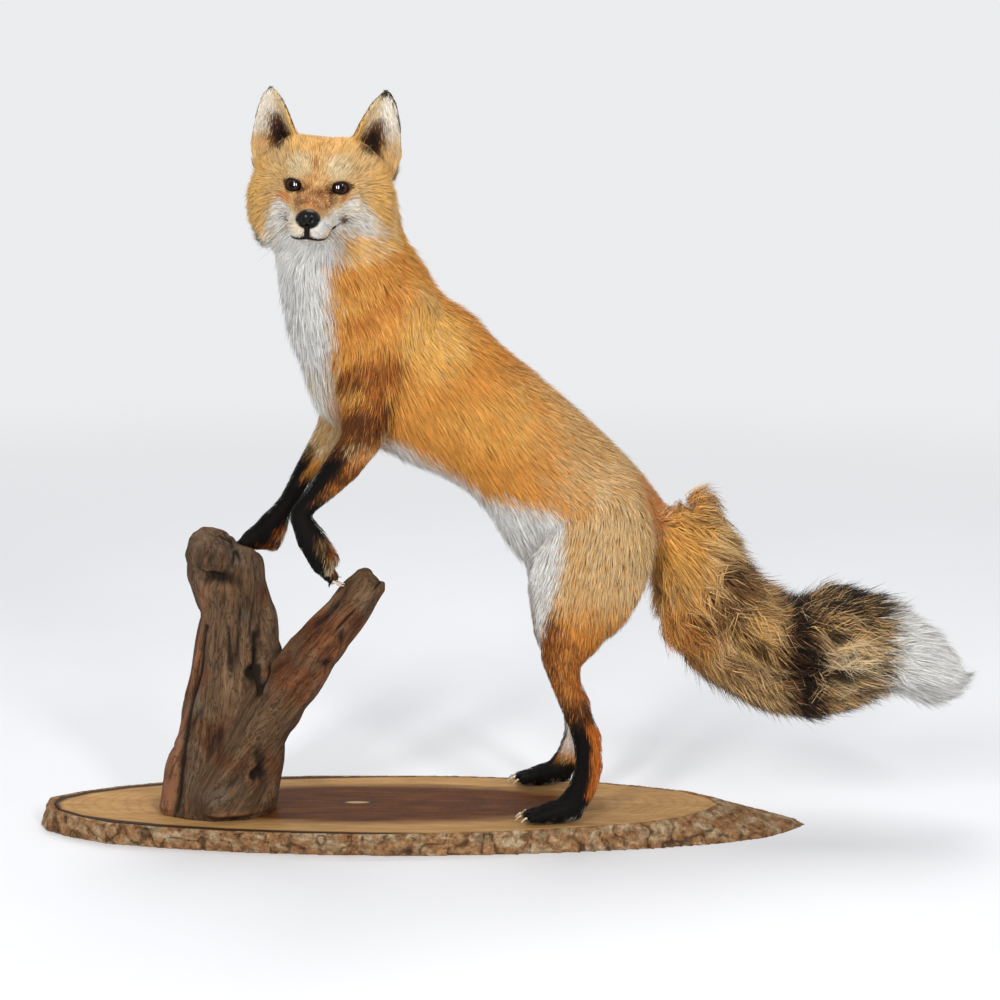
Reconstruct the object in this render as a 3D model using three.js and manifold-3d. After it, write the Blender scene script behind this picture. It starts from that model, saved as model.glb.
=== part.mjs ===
// A taxidermy red fox, life size: it stands on its hind feet on a live-edge wood slab and leans
// with its right forepaw on a forked driftwood stump, the left forepaw lifted, the head turned
// to its left. Millimetres, +Z up. The origin is the middle of the slab's underside. The fox
// faces -X, so its left side is at -Y and its head looks along -Y.
import * as THREE from "three";
import Module from "manifold-3d";
import { mergeVertices } from "three/addons/utils/BufferGeometryUtils.js";

const wasm = await Module();
wasm.setup();

// Driving dimensions.
const GAP = 0.35; // clearance between neighbouring pieces
const CUT = 0.4; // width of the thin cuts that part the body
const SLAB_THICK = 25;
const SLAB_TOP = { x: -43, halfLength: 382, halfDepth: 110 }; // the log is cut on the slant
const SLAB_BASE = { x: 0, halfLength: 432, halfDepth: 108 };
const BARK_THICK = 7;
const SOLE = SLAB_THICK + GAP; // level of everything that stands on the slab
const HEAD_AT = [-96.5, -15, 720.5]; // between the ears, on the eye line
const HEAD_YAW = THREE.MathUtils.degToRad(3); // from -Y towards -X
const HEAD_ROLL = THREE.MathUtils.degToRad(3.65); // crown towards +X
const EYE = { at: [45.5, 24.5, 0], radius: 8.6 };
const SOCKET = { at: [59, 28.5, -0.5], radius: [9, 10.5, 7] };
const NOSE = { at: [111, 0, -28.5], radius: [8, 11.5, 9.2] };
const NOSTRIL = { at: [118.5, 5.2, -28.5], radius: [3.2, 2.4, 2.6] };
const EAR = { base: [-4, 52, 30], width: 66, wall: 3.8, thinnest: 1.6, turn: 0.42, steps: 7, arc: 5 };
const EAR_SPAN = { from: -0.35, length: 1.33 }; // shares of the way from the ear's base to its tip
const EAR_CUP = { base: 1.25, closes: 0.35 }; // half the cup's arc in radians, and its loss to the tip
const EAR_TIPS = { left: [-8, 63, 101.5], right: [-8, 61, 97.5] }; // both given as on the left side
const HIND_SHIFT = -8; // the right hind foot stands this far ahead of the left
const PAW_TOES = [-1.5, -0.5, 0.5, 1.5]; // toe places across a paw, in toe spacings
const CLAW_LENGTH = 7;
const TOE_DOME = 4; // roundness of a toe's end
const TOE_WIDTHS = [5.2, 5.8, 5]; // half widths along a toe
const TOE_LENGTHS = { middle: 17, outer: 11 };
const TOE_SPREAD = 0.09; // how much each toe turns aside, for each place from the middle
const TOE_PAD = 0.8; // how much deeper than wide a toe is below its line
const CLAW_RADIUS = 2.2;
const CLAW_DROP = { from: 1.2, by: 5 }; // height of a claw's root over the toe's line, and its fall
const PAW_ROOM = { half: 22, front: 15, behind: 5, end: [24, 14, 17] }; // hollow for the resting paw

const X_AXIS = new THREE.Vector3(1, 0, 0);
const Y_AXIS = new THREE.Vector3(0, 1, 0);
const Z_AXIS = new THREE.Vector3(0, 0, 1);

// A value between the rows of a table at t, on a Catmull-Rom spline through them.
function spline(values, t) {
  const last = values.length - 1;
  const i = Math.min(Math.floor(t), last - 1);
  const u = t - i;
  const p1 = values[i];
  const p2 = values[i + 1];
  const p0 = i > 0 ? values[i - 1] : 2 * p1 - p2;
  const p3 = i + 2 <= last ? values[i + 2] : 2 * p2 - p1;
  const slopes = (p2 - p0) * u + (2 * p0 - 5 * p1 + 4 * p2 - p3) * u * u;
  return p1 + 0.5 * (slopes + (3 * p1 - p0 - 3 * p2 + p3) * u * u * u);
}

function rowAt(rows, t) {
  return rows[0].map((_, k) => spline(rows.map((row) => row[k]), t));
}

// Place, tangent and the two section axes of a loft at t.
function frameAt(rows, t, lateral) {
  const last = rows.length - 1;
  const row = rowAt(rows, t);
  const ahead = new THREE.Vector3(...rowAt(rows, Math.min(t + 0.02, last)).slice(0, 3));
  const behind = new THREE.Vector3(...rowAt(rows, Math.max(t - 0.02, 0)).slice(0, 3));
  const tangent = ahead.sub(behind).normalize();
  const depth = lateral.clone().cross(tangent).normalize();
  const side = tangent.clone().cross(depth).normalize();
  return { at: new THREE.Vector3(...row.slice(0, 3)), tangent, depth, side, size: row.slice(3) };
}

// A closed skin over rings of equal count, closed at each end on a pole.
function skinOver(rings, poles) {
  const count = rings[0].length;
  const points = [...rings.flat(), ...poles];
  const faces = [];
  const [first, final] = [points.length - 2, points.length - 1];
  rings.slice(1).forEach((_, r) => {
    for (let k = 0; k < count; k++) {
      const [a, b] = [r * count + k, r * count + ((k + 1) % count)];
      faces.push([a, b, a + count], [b, b + count, a + count]);
    }
  });
  const top = (rings.length - 1) * count;
  for (let k = 0; k < count; k++) {
    faces.push([first, (k + 1) % count, k], [final, top + k, top + ((k + 1) % count)]);
  }
  const geometry = new THREE.BufferGeometry().setFromPoints(points);
  geometry.setIndex(faces.flat());
  return geometry;
}

// A three.js geometry as a solid.
function solidOf(geometry, matrix) {
  const g = geometry.clone();
  g.deleteAttribute("normal");
  g.deleteAttribute("uv");
  if (matrix) g.applyMatrix4(matrix);
  const merged = mergeVertices(g, 1e-4);
  const triVerts = new Uint32Array(merged.index.array);
  const mesh = new wasm.Mesh({
    numProp: 3,
    vertProperties: merged.attributes.position.array,
    triVerts,
  });
  const solid = new wasm.Manifold(mesh);
  if (solid.volume() > 0) return solid;
  for (let i = 0; i < triVerts.length; i += 3) {
    [triVerts[i + 1], triVerts[i + 2]] = [triVerts[i + 2], triVerts[i + 1]];
  }
  const vertProperties = merged.attributes.position.array;
  return new wasm.Manifold(new wasm.Mesh({ numProp: 3, vertProperties, triVerts }));
}

// A round-ended loft. Each row holds x, y, z, the half width across, and the two half depths:
// first on the side that lateral x tangent points to, then on the other.
function loft(rows, look) {
  const { lateral = Y_AXIS, sides, rings, domes = [0, 0], domeSteps = [0.5, 0.87], grow = 0, wave } = look;
  const last = rows.length - 1;
  const frames = Array.from({ length: rings + 1 }, (_, i) => frameAt(rows, (i / rings) * last, lateral));
  const ringOf = (frame, scale, shift) =>
    Array.from({ length: sides }, (_, k) => {
      const turn = (2 * Math.PI * k) / sides;
      const [half, up, down] = frame.size.map((s) => s + grow);
      const rough = wave ? wave(frame.at.z, turn) : 1;
      const across = Math.cos(turn) * half * scale * rough;
      const along = Math.sin(turn) * (Math.sin(turn) > 0 ? up : down) * scale * rough;
      return frame.at
        .clone()
        .addScaledVector(frame.side, across)
        .addScaledVector(frame.depth, along)
        .addScaledVector(frame.tangent, shift);
    });
  const dome = (frame, length, way) =>
    length ? domeSteps.map((s) => ringOf(frame, Math.sqrt(1 - s * s), way * (length + grow) * s)) : [];
  const [start, end] = [frames[0], frames[rings]];
  const all = [
    ...dome(start, domes[0], -1).reverse(),
    ...frames.map((frame) => ringOf(frame, 1, 0)),
    ...dome(end, domes[1], 1),
  ];
  const reach = (length) => (length ? length + grow : grow);
  return solidOf(
    skinOver(all, [
      start.at.clone().addScaledVector(start.tangent, -reach(domes[0])),
      end.at.clone().addScaledVector(end.tangent, reach(domes[1])),
    ]),
  );
}

// A thin disc across a loft at t, which parts it there.
function cutAcross(rows, t, lateral, radius) {
  const frame = frameAt(rows, t, lateral);
  const turned = new THREE.Quaternion().setFromUnitVectors(Y_AXIS, frame.tangent);
  const matrix = new THREE.Matrix4().compose(frame.at, turned, new THREE.Vector3(1, 1, 1));
  return solidOf(new THREE.CylinderGeometry(radius, radius, CUT, 16), matrix);
}

// A solid parted by thin discs, each at a place t along the rows and of its own radius. Gives
// the pieces in their order along the rows.
function partAlong(solid, rows, cuts, lateral = Y_AXIS) {
  const parted = cuts.reduce((left, [t, radius]) => left.subtract(cutAcross(rows, t, lateral, radius)), solid);
  const pieces = parted
    .decompose()
    .sort((a, b) => b.volume() - a.volume())
    .slice(0, cuts.length + 1);
  const steps = Array.from({ length: 81 }, (_, i) => (i / 80) * (rows.length - 1));
  const placeOf = (piece) => {
    const box = piece.boundingBox();
    const middle = new THREE.Vector3(...box.min).add(new THREE.Vector3(...box.max)).divideScalar(2);
    const away = steps.map((t) => frameAt(rows, t, lateral).at.distanceTo(middle));
    return steps[away.indexOf(Math.min(...away))];
  };
  return pieces.sort((a, b) => placeOf(a) - placeOf(b));
}

function ellipsoid({ at, radius }, grow = 0, matrix, [around, up] = [10, 6]) {
  const place = new THREE.Matrix4()
    .makeTranslation(...at)
    .multiply(new THREE.Matrix4().makeScale(...radius.map((r) => r + grow)));
  const sphere = new THREE.SphereGeometry(1, around, up);
  return solidOf(sphere, matrix ? matrix.clone().multiply(place) : place);
}

const union = (solids) => solids.reduce((all, solid) => all.add(solid));

// ---- Trunk and neck ----

// From the rump to the breast: x, y, z, half width, half depth to the back and to the belly.
const TRUNK = [
  [248, 0, 346, 44, 38, 36],
  [213, 0, 371, 62, 52, 126],
  [147, 0, 424, 60, 60, 99],
  [88, 0, 462, 62, 72, 84],
  [39, 0, 489, 66, 83, 88],
  [-12, 0, 515, 69, 106, 91],
  [-62, 0, 522, 57, 74, 76],
];
// From the breast to the skull: the half depths are to the nape and to the throat.
const NECK = [
  [-34, 0, 515, 62, 80, 80],
  [-54, 0, 588, 66, 87, 95],
  [-78, 0, 640, 64, 74, 77],
  [-81, 4, 682, 61, 71, 76],
  [-86, 8, 706, 55, 64, 68],
];
const TRUNK_LOOK = { sides: 14, rings: 8, domes: [16, 62] };
const NECK_LOOK = { sides: 12, rings: 5, domes: [0, 30] };
// Places of the cuts along the rows, with the radius of each.
const TRUNK_CUTS = [
  [1.5, 130],
  [2.6, 130],
];
const NECK_CUTS = [[1.05, 130]];

// ---- Head, in its own frame: x to the nose, y to the left ear, z up from the eye line ----

// x, middle z, then the reach of the surface upwards, at 45 degrees up, sideways, at 45 degrees
// down and downwards.
const SKULL = [
  [-42, 0, 22, 24, 26, 26, 24],
  [-28, -2, 42, 53, 59, 52, 44],
  [-8, -5, 54, 67, 78, 78, 60],
  [10, -8, 58, 68, 82, 87, 60],
  [24, -10, 56, 57, 74, 82, 58],
  [38, -12, 48, 42, 49, 65, 54],
  [50, -14, 36, 32, 35, 48, 47],
  [60, -18, 27, 26, 28, 37, 41],
  [72, -23, 21.5, 21, 23, 28, 33],
  [86, -28, 18, 18.5, 22, 26.5, 26],
  [100, -31, 15.5, 16.5, 21, 25, 22.5],
  [110, -33, 12, 13.5, 16.5, 19, 16.5],
];
const SKULL_SIDES = 16;
const SKULL_RINGS = 11;
const MUZZLE_FROM = 58; // the muzzle is parted from the head at this x

function headMatrix() {
  const forward = new THREE.Vector3(-Math.sin(HEAD_YAW), -Math.cos(HEAD_YAW), 0);
  const up = Z_AXIS.clone().applyAxisAngle(forward, -HEAD_ROLL);
  const left = up.clone().cross(forward);
  return new THREE.Matrix4().makeBasis(forward, left, up).setPosition(...HEAD_AT);
}

// Reach of a section at an angle, between its eight named directions.
function reachAt([top, upper, side, lower, bottom], turn) {
  const round = [side, upper, top, upper, side, lower, bottom, lower];
  const t = (((turn / (2 * Math.PI)) % 1) + 1) % 1;
  const i = Math.floor(t * 8);
  return spline([-1, 0, 1, 2].map((k) => round[(i + k + 8) % 8]), 1 + t * 8 - i);
}

function skull(grow = 0) {
  const last = SKULL.length - 1;
  const ringAt = (row, scale, shift) =>
    Array.from({ length: SKULL_SIDES }, (_, k) => {
      const turn = (2 * Math.PI * k) / SKULL_SIDES;
      const reach = (reachAt(row.slice(2), turn) + grow) * scale;
      return new THREE.Vector3(row[0] + shift, reach * Math.cos(turn), row[1] + reach * Math.sin(turn));
    });
  const rows = Array.from({ length: SKULL_RINGS + 1 }, (_, i) => rowAt(SKULL, (i / SKULL_RINGS) * last));
  const [back, front] = [rows[0], rows[SKULL_RINGS]];
  const rings = [
    ringAt(back, 0.5, -7 - grow),
    ...rows.map((row) => ringAt(row, 1, 0)),
    ringAt(front, 0.75, 4 + grow),
  ];
  const poles = [
    new THREE.Vector3(back[0] - 10 - grow, 0, back[1]),
    new THREE.Vector3(front[0] + 6 + grow, 0, front[1]),
  ];
  return solidOf(skinOver(rings, poles), headMatrix());
}

// A cupped ear: crescent rings from inside the head to the tip. way is 1 for the left ear.
function ear(way) {
  const { steps, arc } = EAR;
  const ends = [EAR.base, way > 0 ? EAR_TIPS.left : EAR_TIPS.right];
  const [base, tip] = ends.map(([x, y, z]) => new THREE.Vector3(x, y * way, z));
  const facing = X_AXIS.clone().applyAxisAngle(Z_AXIS, EAR.turn * way);
  const across = Z_AXIS.clone().cross(facing);
  const rings = Array.from({ length: steps + 1 }, (_, i) => {
    const t = EAR_SPAN.from + (EAR_SPAN.length * i) / steps;
    const height = Math.max(t, 0);
    const width = EAR.width * Math.sqrt(1 - Math.min(height, 0.99)) * (t < 0 ? 1 + 0.5 * t : 1);
    const half = EAR_CUP.base - EAR_CUP.closes * height;
    const cup = width / 2 / Math.sin(half);
    const middle = base.clone().lerp(tip, t);
    const wall = Math.max(EAR.wall * (1 - 0.45 * height), EAR.thinnest);
    const layer = (radius, order) =>
      order.map((k) => {
        const turn = half * ((2 * k) / arc - 1);
        return middle
          .clone()
          .addScaledVector(across, radius * Math.sin(turn))
          .addScaledVector(facing, cup * Math.cos(half) - radius * Math.cos(turn));
      });
    const order = Array.from({ length: arc + 1 }, (_, k) => k);
    const slim = Math.min(wall, cup * 0.45);
    return [...layer(cup, order), ...layer(cup - slim, [...order].reverse())];
  });
  return solidOf(cappedCrescent(rings), headMatrix());
}

// Rings whose first half runs out and second half runs back, closed at both ends across the gap.
function cappedCrescent(rings) {
  const count = rings[0].length;
  const faces = [];
  rings.slice(1).forEach((_, r) => {
    for (let k = 0; k < count; k++) {
      const [a, b] = [r * count + k, r * count + ((k + 1) % count)];
      faces.push([a, b, a + count], [b, b + count, a + count]);
    }
  });
  const top = (rings.length - 1) * count;
  for (let k = 0; k < count / 2 - 1; k++) {
    const [a, b, c, d] = [k, k + 1, count - 2 - k, count - 1 - k];
    faces.push([a, c, b], [a, d, c], [top + a, top + b, top + c], [top + a, top + c, top + d]);
  }
  const geometry = new THREE.BufferGeometry().setFromPoints(rings.flat());
  geometry.setIndex(faces.flat());
  return geometry;
}

// ---- Legs: x, y, z, half width, half depth to the front and to the rear, from the top down ----

const LEFT_FORE = [
  [6, -38, 604, 20, 26, 26],
  [-32, -49, 556, 25, 46, 42],
  [-48, -55, 510, 23, 41, 36],
  [-48, -57, 474, 20, 31, 29],
  [-59, -55, 446, 17, 21, 23],
  [-76, -52, 422, 14.5, 19, 21],
  [-95, -50, 400, 12, 15, 17],
  [-113, -49, 381, 10, 11, 13],
  [-124, -48, 367, 10, 12, 11],
];
const RIGHT_FORE = [
  [-2, 38, 604, 20, 26, 26],
  [-36, 49, 552, 25, 44, 42],
  [-62, 52, 506, 22, 36, 36],
  [-80, 48, 474, 18, 24, 26],
  [-97, 43, 446, 14, 15, 23],
  [-113, 42, 420, 12, 12, 20],
  [-128, 41, 394, 10, 11, 15],
  [-143, 40, 366, 9.5, 10, 14],
  [-157, 40, 346, 10, 11, 14],
];
const LEFT_HIND = [
  [226, -30, 396, 22, 24, 22],
  [223, -47, 374, 30, 44, 38],
  [213, -56, 340, 31, 66, 55],
  [201, -62, 299, 28, 82, 54],
  [188, -66, 266, 24, 73, 47],
  [169, -68, 232, 19, 42, 31],
  [162, -69, 204, 14, 24, 20],
  [167, -70, 176, 12, 16, 16],
  [176, -70, 152, 12, 15, 16],
  [187, -70, 122, 12, 15, 18],
  [189, -70, 90, 12, 14, 17],
  [182, -70, 64, 13, 15, 16],
  [174, -70, 46, 13, 18, 14],
];
const mirrored = (rows, shift) => rows.map(([x, y, ...rest]) => [x + shift, -y, ...rest]);
const RIGHT_HIND = mirrored(LEFT_HIND, HIND_SHIFT).map((row, i) => {
  const share = Math.min(i / 6, 1); // the hip stays level with the other, the foot is ahead
  return [row[0] - HIND_SHIFT * (1 - share), ...row.slice(1)];
});
const FORE_CUTS = [
  [3.2, 60],
  [7.8, 24],
];
const HIND_CUTS = [
  [4.6, 80],
  [8.6, 30],
  [11.2, 30],
];
const LEG_LOOK = { sides: 9, domes: [8, 2], domeSteps: [0.7] };

// A paw: its body as loft rows, the way its toes point, and where they start.
const PAWS = {
  forepaw_left: {
    rows: [
      [-123, -48, 366, 10.5, 12, 11],
      [-119, -48, 350, 13, 14, 14],
      [-109, -48, 331, 16, 14, 18],
      [-97, -48, 311, 18, 14, 17],
    ],
    toesFrom: [-96, -48, 309],
    way: [0.6, 0, -0.8],
    level: [-0.8, 0, -0.6],
    thick: 5,
    spacing: 8.4,
  },
  forepaw_right: {
    rows: [
      [-155, 40, 348, 10.5, 11, 14],
      [-165, 40, 337, 13, 12, 26],
      [-178, 40, 327, 16, 10, 28],
      [-189, 40, 320, 16, 9, 13],
    ],
    toesFrom: [-188, 40, 320],
    way: [-0.86, 0, -0.5],
    level: [-0.5, 0, 0.86],
    spacing: 8,
  },
  hindpaw_left: {
    rows: [
      [177, -70, 46, 13, 14, 17],
      [162, -70, 41, 14.5, 13, 15],
      [148, -70, 38, 16, 11, 13],
      [140, -70, 37, 16, 9, 12],
    ],
    toesFrom: [138, -70, 35],
    way: [-1, 0, -0.05],
    level: [0, 0, 1],
    spacing: 8.2,
  },
};
PAWS.hindpaw_right = {
  ...PAWS.hindpaw_left,
  rows: mirrored(PAWS.hindpaw_left.rows, HIND_SHIFT),
  toesFrom: [PAWS.hindpaw_left.toesFrom[0] + HIND_SHIFT, 70, PAWS.hindpaw_left.toesFrom[2]],
};

// Where each toe of a paw starts and ends, the middle two reaching further.
function toeLines({ toesFrom, way, spacing }) {
  const ahead = new THREE.Vector3(...way).normalize();
  return PAW_TOES.map((place) => {
    const from = new THREE.Vector3(...toesFrom).addScaledVector(Y_AXIS, place * spacing);
    const spread = ahead.clone().addScaledVector(Y_AXIS, place * TOE_SPREAD).normalize();
    const length = Math.abs(place) < 1 ? TOE_LENGTHS.middle : TOE_LENGTHS.outer;
    return { from, ahead: spread, to: from.clone().addScaledVector(spread, length) };
  });
}

function pawSolid(paw) {
  const body = loft(paw.rows, { sides: 9, rings: 2, domes: [5, 7], domeSteps: [0.7] });
  const { thick = 2.2 } = paw; // how much deeper than wide a toe is above its line
  const toes = toeLines(paw).map(({ from, to }) => {
    const rows = [from, from.clone().lerp(to, 0.55), to].map((p, i) => {
      const half = TOE_WIDTHS[i];
      return [p.x, p.y, p.z, half, half + thick - i * 0.4, half + TOE_PAD];
    });
    return loft(rows, { sides: 5, rings: 1, domes: [0, TOE_DOME], domeSteps: [] });
  });
  return union([body, ...toes]);
}

// A claw starts just clear of its toe's end.
function claw({ ahead, to }, level) {
  const up = new THREE.Vector3(...level);
  const rows = [0, 0.5, 1].map((t) => {
    const p = to
      .clone()
      .addScaledVector(ahead, TOE_DOME + GAP + CLAW_LENGTH * t)
      .addScaledVector(up, CLAW_DROP.from - CLAW_DROP.by * t * t);
    const half = CLAW_RADIUS * (1 - 0.75 * t);
    return [p.x, p.y, p.z, half * 0.8, half * 1.15, half];
  });
  return loft(rows, { sides: 4, rings: 2 });
}

// Room for the forepaw that rests on the driftwood.
function pawRoom({ rows, toesFrom, way }) {
  const ahead = new THREE.Vector3(...way).normalize();
  const end = new THREE.Vector3(...toesFrom).addScaledVector(ahead, TOE_LENGTHS.middle);
  const { half, front, behind } = PAW_ROOM;
  const wide = rows.map(([x, y, z, , , rear]) => [x, y, z, half, front, rear + behind]);
  wide.push([...end.toArray(), ...PAW_ROOM.end]);
  return loft(wide, { sides: 8, rings: 3, domes: [6, 30], domeSteps: [0.7] });
}

// ---- Tail: the half depths are to its upper and lower outline ----

const TAIL = [
  [254, 0, 344, 26, 26, 26],
  [284, 0, 330, 40, 56, 44],
  [308, 0, 302, 50, 55, 60],
  [330, 0, 272, 56, 48, 74],
  [362, 0, 239, 58, 49, 76],
  [400, 0, 214, 58, 51, 74],
  [440, 0, 203, 57, 67, 73],
  [482, 0, 209, 57, 62, 64],
  [516, 0, 206, 52, 54, 52],
  [544, 0, 196, 45, 45, 43],
  [570, 0, 183, 38, 39, 42],
  [591, 0, 170, 27, 27, 34],
];
const TAIL_CUTS = [
  [3.1, 100],
  [5.8, 100],
  [8.7, 90],
];
const UPWARD = new THREE.Vector3(0, -1, 0); // the lateral that makes the first half depth the upper

// ---- Driftwood: half depths are to the right and to the left of the stem ----

const STEM = [
  [-224, -14, SOLE - 12, 53, 65, 65],
  [-215, -12, 60, 50, 62, 62],
  [-205, -8, 100, 48, 60, 59],
  [-199, -4, 150, 46, 54, 57],
  [-200, 2, 200, 44, 47, 50],
  [-204, 6, 250, 42, 40, 40],
  [-212, 8, 294, 45, 42, 42],
  [-216, 8, 316, 44, 38, 38],
];
const BRANCH = [
  [-192, -14, 92, 34, 36, 36],
  [-154, -16, 152, 28, 31, 31],
  [-118, -16, 196, 24, 26, 26],
  [-84, -14, 240, 21, 23, 24],
  [-49, -12, 284, 16, 17, 17],
];
const BRANCH_FROM = 1.15;
const stemWave = (z, turn) =>
  1 + 0.035 * Math.sin(3 * turn + z / 60) + 0.025 * Math.sin(5 * turn - z / 38) + 0.02 * Math.sin(z / 23);
const branchWave = (z, turn) => 1 + 0.04 * Math.sin(3 * turn + z / 30) + 0.02 * Math.sin(7 * turn + z / 17);

const STEM_LOOK = { sides: 12, rings: 7, domes: [0, 18], wave: stemWave };
const BRANCH_LOOK = { sides: 10, rings: 6, domes: [0, 9], domeSteps: [0.7], wave: branchWave };
const STEM_SLOPE = { size: [260, 260, 100], at: [-170, 30, 360], turned: [-0.16, 0.5, 0] }; // cuts the top
const STEM_KNOB = { at: [-223, -12, 315], radius: [30, 32, 27] };
const STEM_HOLLOW = { at: [-204, -58, 294], radius: [34, 16, 9] };
const BRANCH_SPLIT = { size: [30, 5, 40], at: [-46, -14, 300], turned: [0.3, 0.7, 0.2] };

function box({ size, at, turned = [0, 0, 0] }) {
  const matrix = new THREE.Matrix4().makeRotationFromEuler(new THREE.Euler(...turned));
  return solidOf(new THREE.BoxGeometry(...size), matrix.setPosition(...at));
}

// All that lies below the level where things stand on the slab.
function floorBlock() {
  const [long, wide, deep] = [1200, 500, 60];
  return box({ size: [long, wide, deep], at: [0, 0, SOLE - deep / 2] });
}

function driftwood() {
  const stem = loft(STEM, STEM_LOOK);
  const knob = ellipsoid(STEM_KNOB);
  const hollow = ellipsoid(STEM_HOLLOW, 0, undefined, [8, 5]);
  const shaped = stem.subtract(floorBlock()).subtract(box(STEM_SLOPE)).add(knob).subtract(hollow);
  const wood = shaped.subtract(pawRoom(PAWS.forepaw_right));
  const offshoot = loft(BRANCH, BRANCH_LOOK).subtract(box(BRANCH_SPLIT));
  const across = cutAcross(BRANCH, BRANCH_FROM, Y_AXIS, 60);
  const half = offshoot.subtract(across).decompose();
  const highest = (solid) => solid.boundingBox().max[2];
  const [arm, root] = half.sort((a, b) => highest(b) - highest(a));
  return { driftwood_stem: wood.add(root), driftwood_branch: arm.subtract(grownStem()) };
}

function grownStem() {
  return loft(STEM, { ...STEM_LOOK, grow: GAP });
}

// ---- Slab ----

function outline(turn) {
  return 1 + 0.012 * Math.sin(3 * turn + 1) + 0.008 * Math.sin(7 * turn) + 0.005 * Math.sin(13 * turn + 2);
}

// The slab's block, inset by a bark's thickness, from one level to another.
function slabBlock(inset, low, high) {
  const count = 28;
  const at = (key, z) => THREE.MathUtils.lerp(SLAB_BASE[key], SLAB_TOP[key], z / SLAB_THICK);
  const pole = (z) => new THREE.Vector3(at("x", z), 0, z);
  const ring = (z) =>
    Array.from({ length: count }, (_, k) => {
      const turn = (2 * Math.PI * k) / count;
      const x = (at("halfLength", z) - inset * 1.6) * Math.cos(turn) * outline(turn);
      const y = (at("halfDepth", z) - inset) * Math.sin(turn) * outline(turn);
      return pole(z).add(new THREE.Vector3(x, y, 0));
    });
  return solidOf(skinOver([ring(low), ring(high)], [pole(low), pole(high)]));
}

// ---- Putting it together ----

const COLOURS = {
  coat: [0xc98345, 0.8],
  pale: [0xe4ddd0, 0.8],
  dark: [0x1d1714, 0.7],
  nose: [0x0c0b0b, 0.3],
  eye: [0x3a1c08, 0.08],
  claw: [0xcdbf9c, 0.4],
  driftwood: [0x6d4d33, 0.9],
  slab: [0xb98b54, 0.6],
  bark: [0x7c6a58, 0.95],
};
const materials = Object.fromEntries(
  Object.entries(COLOURS).map(([name, [color, roughness]]) => [
    name,
    new THREE.MeshStandardMaterial({ color, roughness, metalness: 0 }),
  ]),
);

const model = new THREE.Group();

function place(name, solid, finish) {
  const { vertProperties, triVerts, numProp } = solid.getMesh();
  const points = new Float32Array((vertProperties.length / numProp) * 3);
  for (let i = 0; i < points.length / 3; i++) {
    points.set(vertProperties.subarray(i * numProp, i * numProp + 3), i * 3);
  }
  const geometry = new THREE.BufferGeometry();
  geometry.setAttribute("position", new THREE.BufferAttribute(points, 3));
  geometry.setIndex(new THREE.BufferAttribute(triVerts, 1));
  geometry.computeVertexNormals();
  const mesh = new THREE.Mesh(geometry, materials[finish]);
  mesh.name = name;
  model.add(mesh);
}

function placeAll(names, solids, finishes) {
  names.forEach((name, i) => place(name, solids[i], Array.isArray(finishes) ? finishes[i] : finishes));
}

const toHead = headMatrix();
const largest = (solid) => solid.decompose().sort((a, b) => b.volume() - a.volume())[0];

function buildHead() {
  const ears = { ear_left: ear(1), ear_right: ear(-1) };
  const eye = { at: EYE.at, radius: [EYE.radius, EYE.radius, EYE.radius] };
  const pair = (shape, grow, fineness) =>
    [1, -1].map((way) => {
      const at = [shape.at[0], shape.at[1] * way, shape.at[2]];
      return ellipsoid({ at, radius: shape.radius }, grow, toHead, fineness);
    });
  const hollows = [...pair(eye, GAP), ...pair(SOCKET, 0, [8, 6]), ellipsoid(NOSE, GAP, toHead)];
  const whole = skull().subtract(union(hollows));
  const across = new THREE.Matrix4()
    .makeTranslation(MUZZLE_FROM, 0, -20)
    .multiply(new THREE.Matrix4().makeRotationZ(Math.PI / 2));
  const parting = solidOf(new THREE.CylinderGeometry(90, 90, CUT, 24), toHead.clone().multiply(across));
  const [cranium, muzzle] = whole
    .subtract(parting)
    .decompose()
    .sort((a, b) => b.volume() - a.volume());
  place("head", cranium, "coat");
  place("muzzle", muzzle, "pale");
  const grown = skull(GAP).add(loft(NECK, { ...NECK_LOOK, grow: GAP }));
  Object.entries(ears).forEach(([name, solid]) => place(name, largest(solid.subtract(grown)), "coat"));
  placeAll(["eye_left", "eye_right"], pair(eye, 0), "eye");
  place("nose", ellipsoid(NOSE, 0, toHead).subtract(union(pair(NOSTRIL, 0, [6, 4]))), "nose");
}

function buildBody() {
  const neck = loft(NECK, NECK_LOOK).subtract(skull(GAP));
  const trunk = loft(TRUNK, TRUNK_LOOK);
  const core = largest(trunk.add(neck));
  const [breast, upperNeck] = partAlong(core, NECK, NECK_CUTS);
  const [rump, loin, chest] = partAlong(breast, TRUNK, TRUNK_CUTS);
  placeAll(["rump", "loin", "chest", "neck"], [rump, loin, chest, upperNeck], "coat");
}

function buildLegs() {
  const grown = union([
    loft(TRUNK, { ...TRUNK_LOOK, grow: GAP }),
    loft(NECK, { ...NECK_LOOK, grow: GAP }),
  ]);
  const fore = ["upper_arm", "forearm", "forepaw"];
  const hind = ["thigh", "shank", "metatarsus", "hindpaw"];
  const legs = [
    ["left", LEFT_FORE, FORE_CUTS, fore],
    ["right", RIGHT_FORE, FORE_CUTS, fore],
    ["left", LEFT_HIND, HIND_CUTS, hind],
    ["right", RIGHT_HIND, HIND_CUTS, hind],
  ];
  for (const [side, rows, cuts, names] of legs) {
    const paw = PAWS[`${names.at(-1)}_${side}`];
    const whole = legSolid(rows).add(pawSolid(paw)).subtract(grown).subtract(floorBlock());
    const finishes = names.map((name) => (/thigh|shank|upper/.test(name) ? "coat" : "dark"));
    placeAll(names.map((name) => `${name}_${side}`), partAlong(largest(whole), rows, cuts), finishes);
    const claws = toeLines(paw).map((line) => claw(line, paw.level));
    placeAll(claws.map((_, i) => `claw_${names.at(-1)}_${side}_${i + 1}`), claws, "claw");
  }
}

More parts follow.
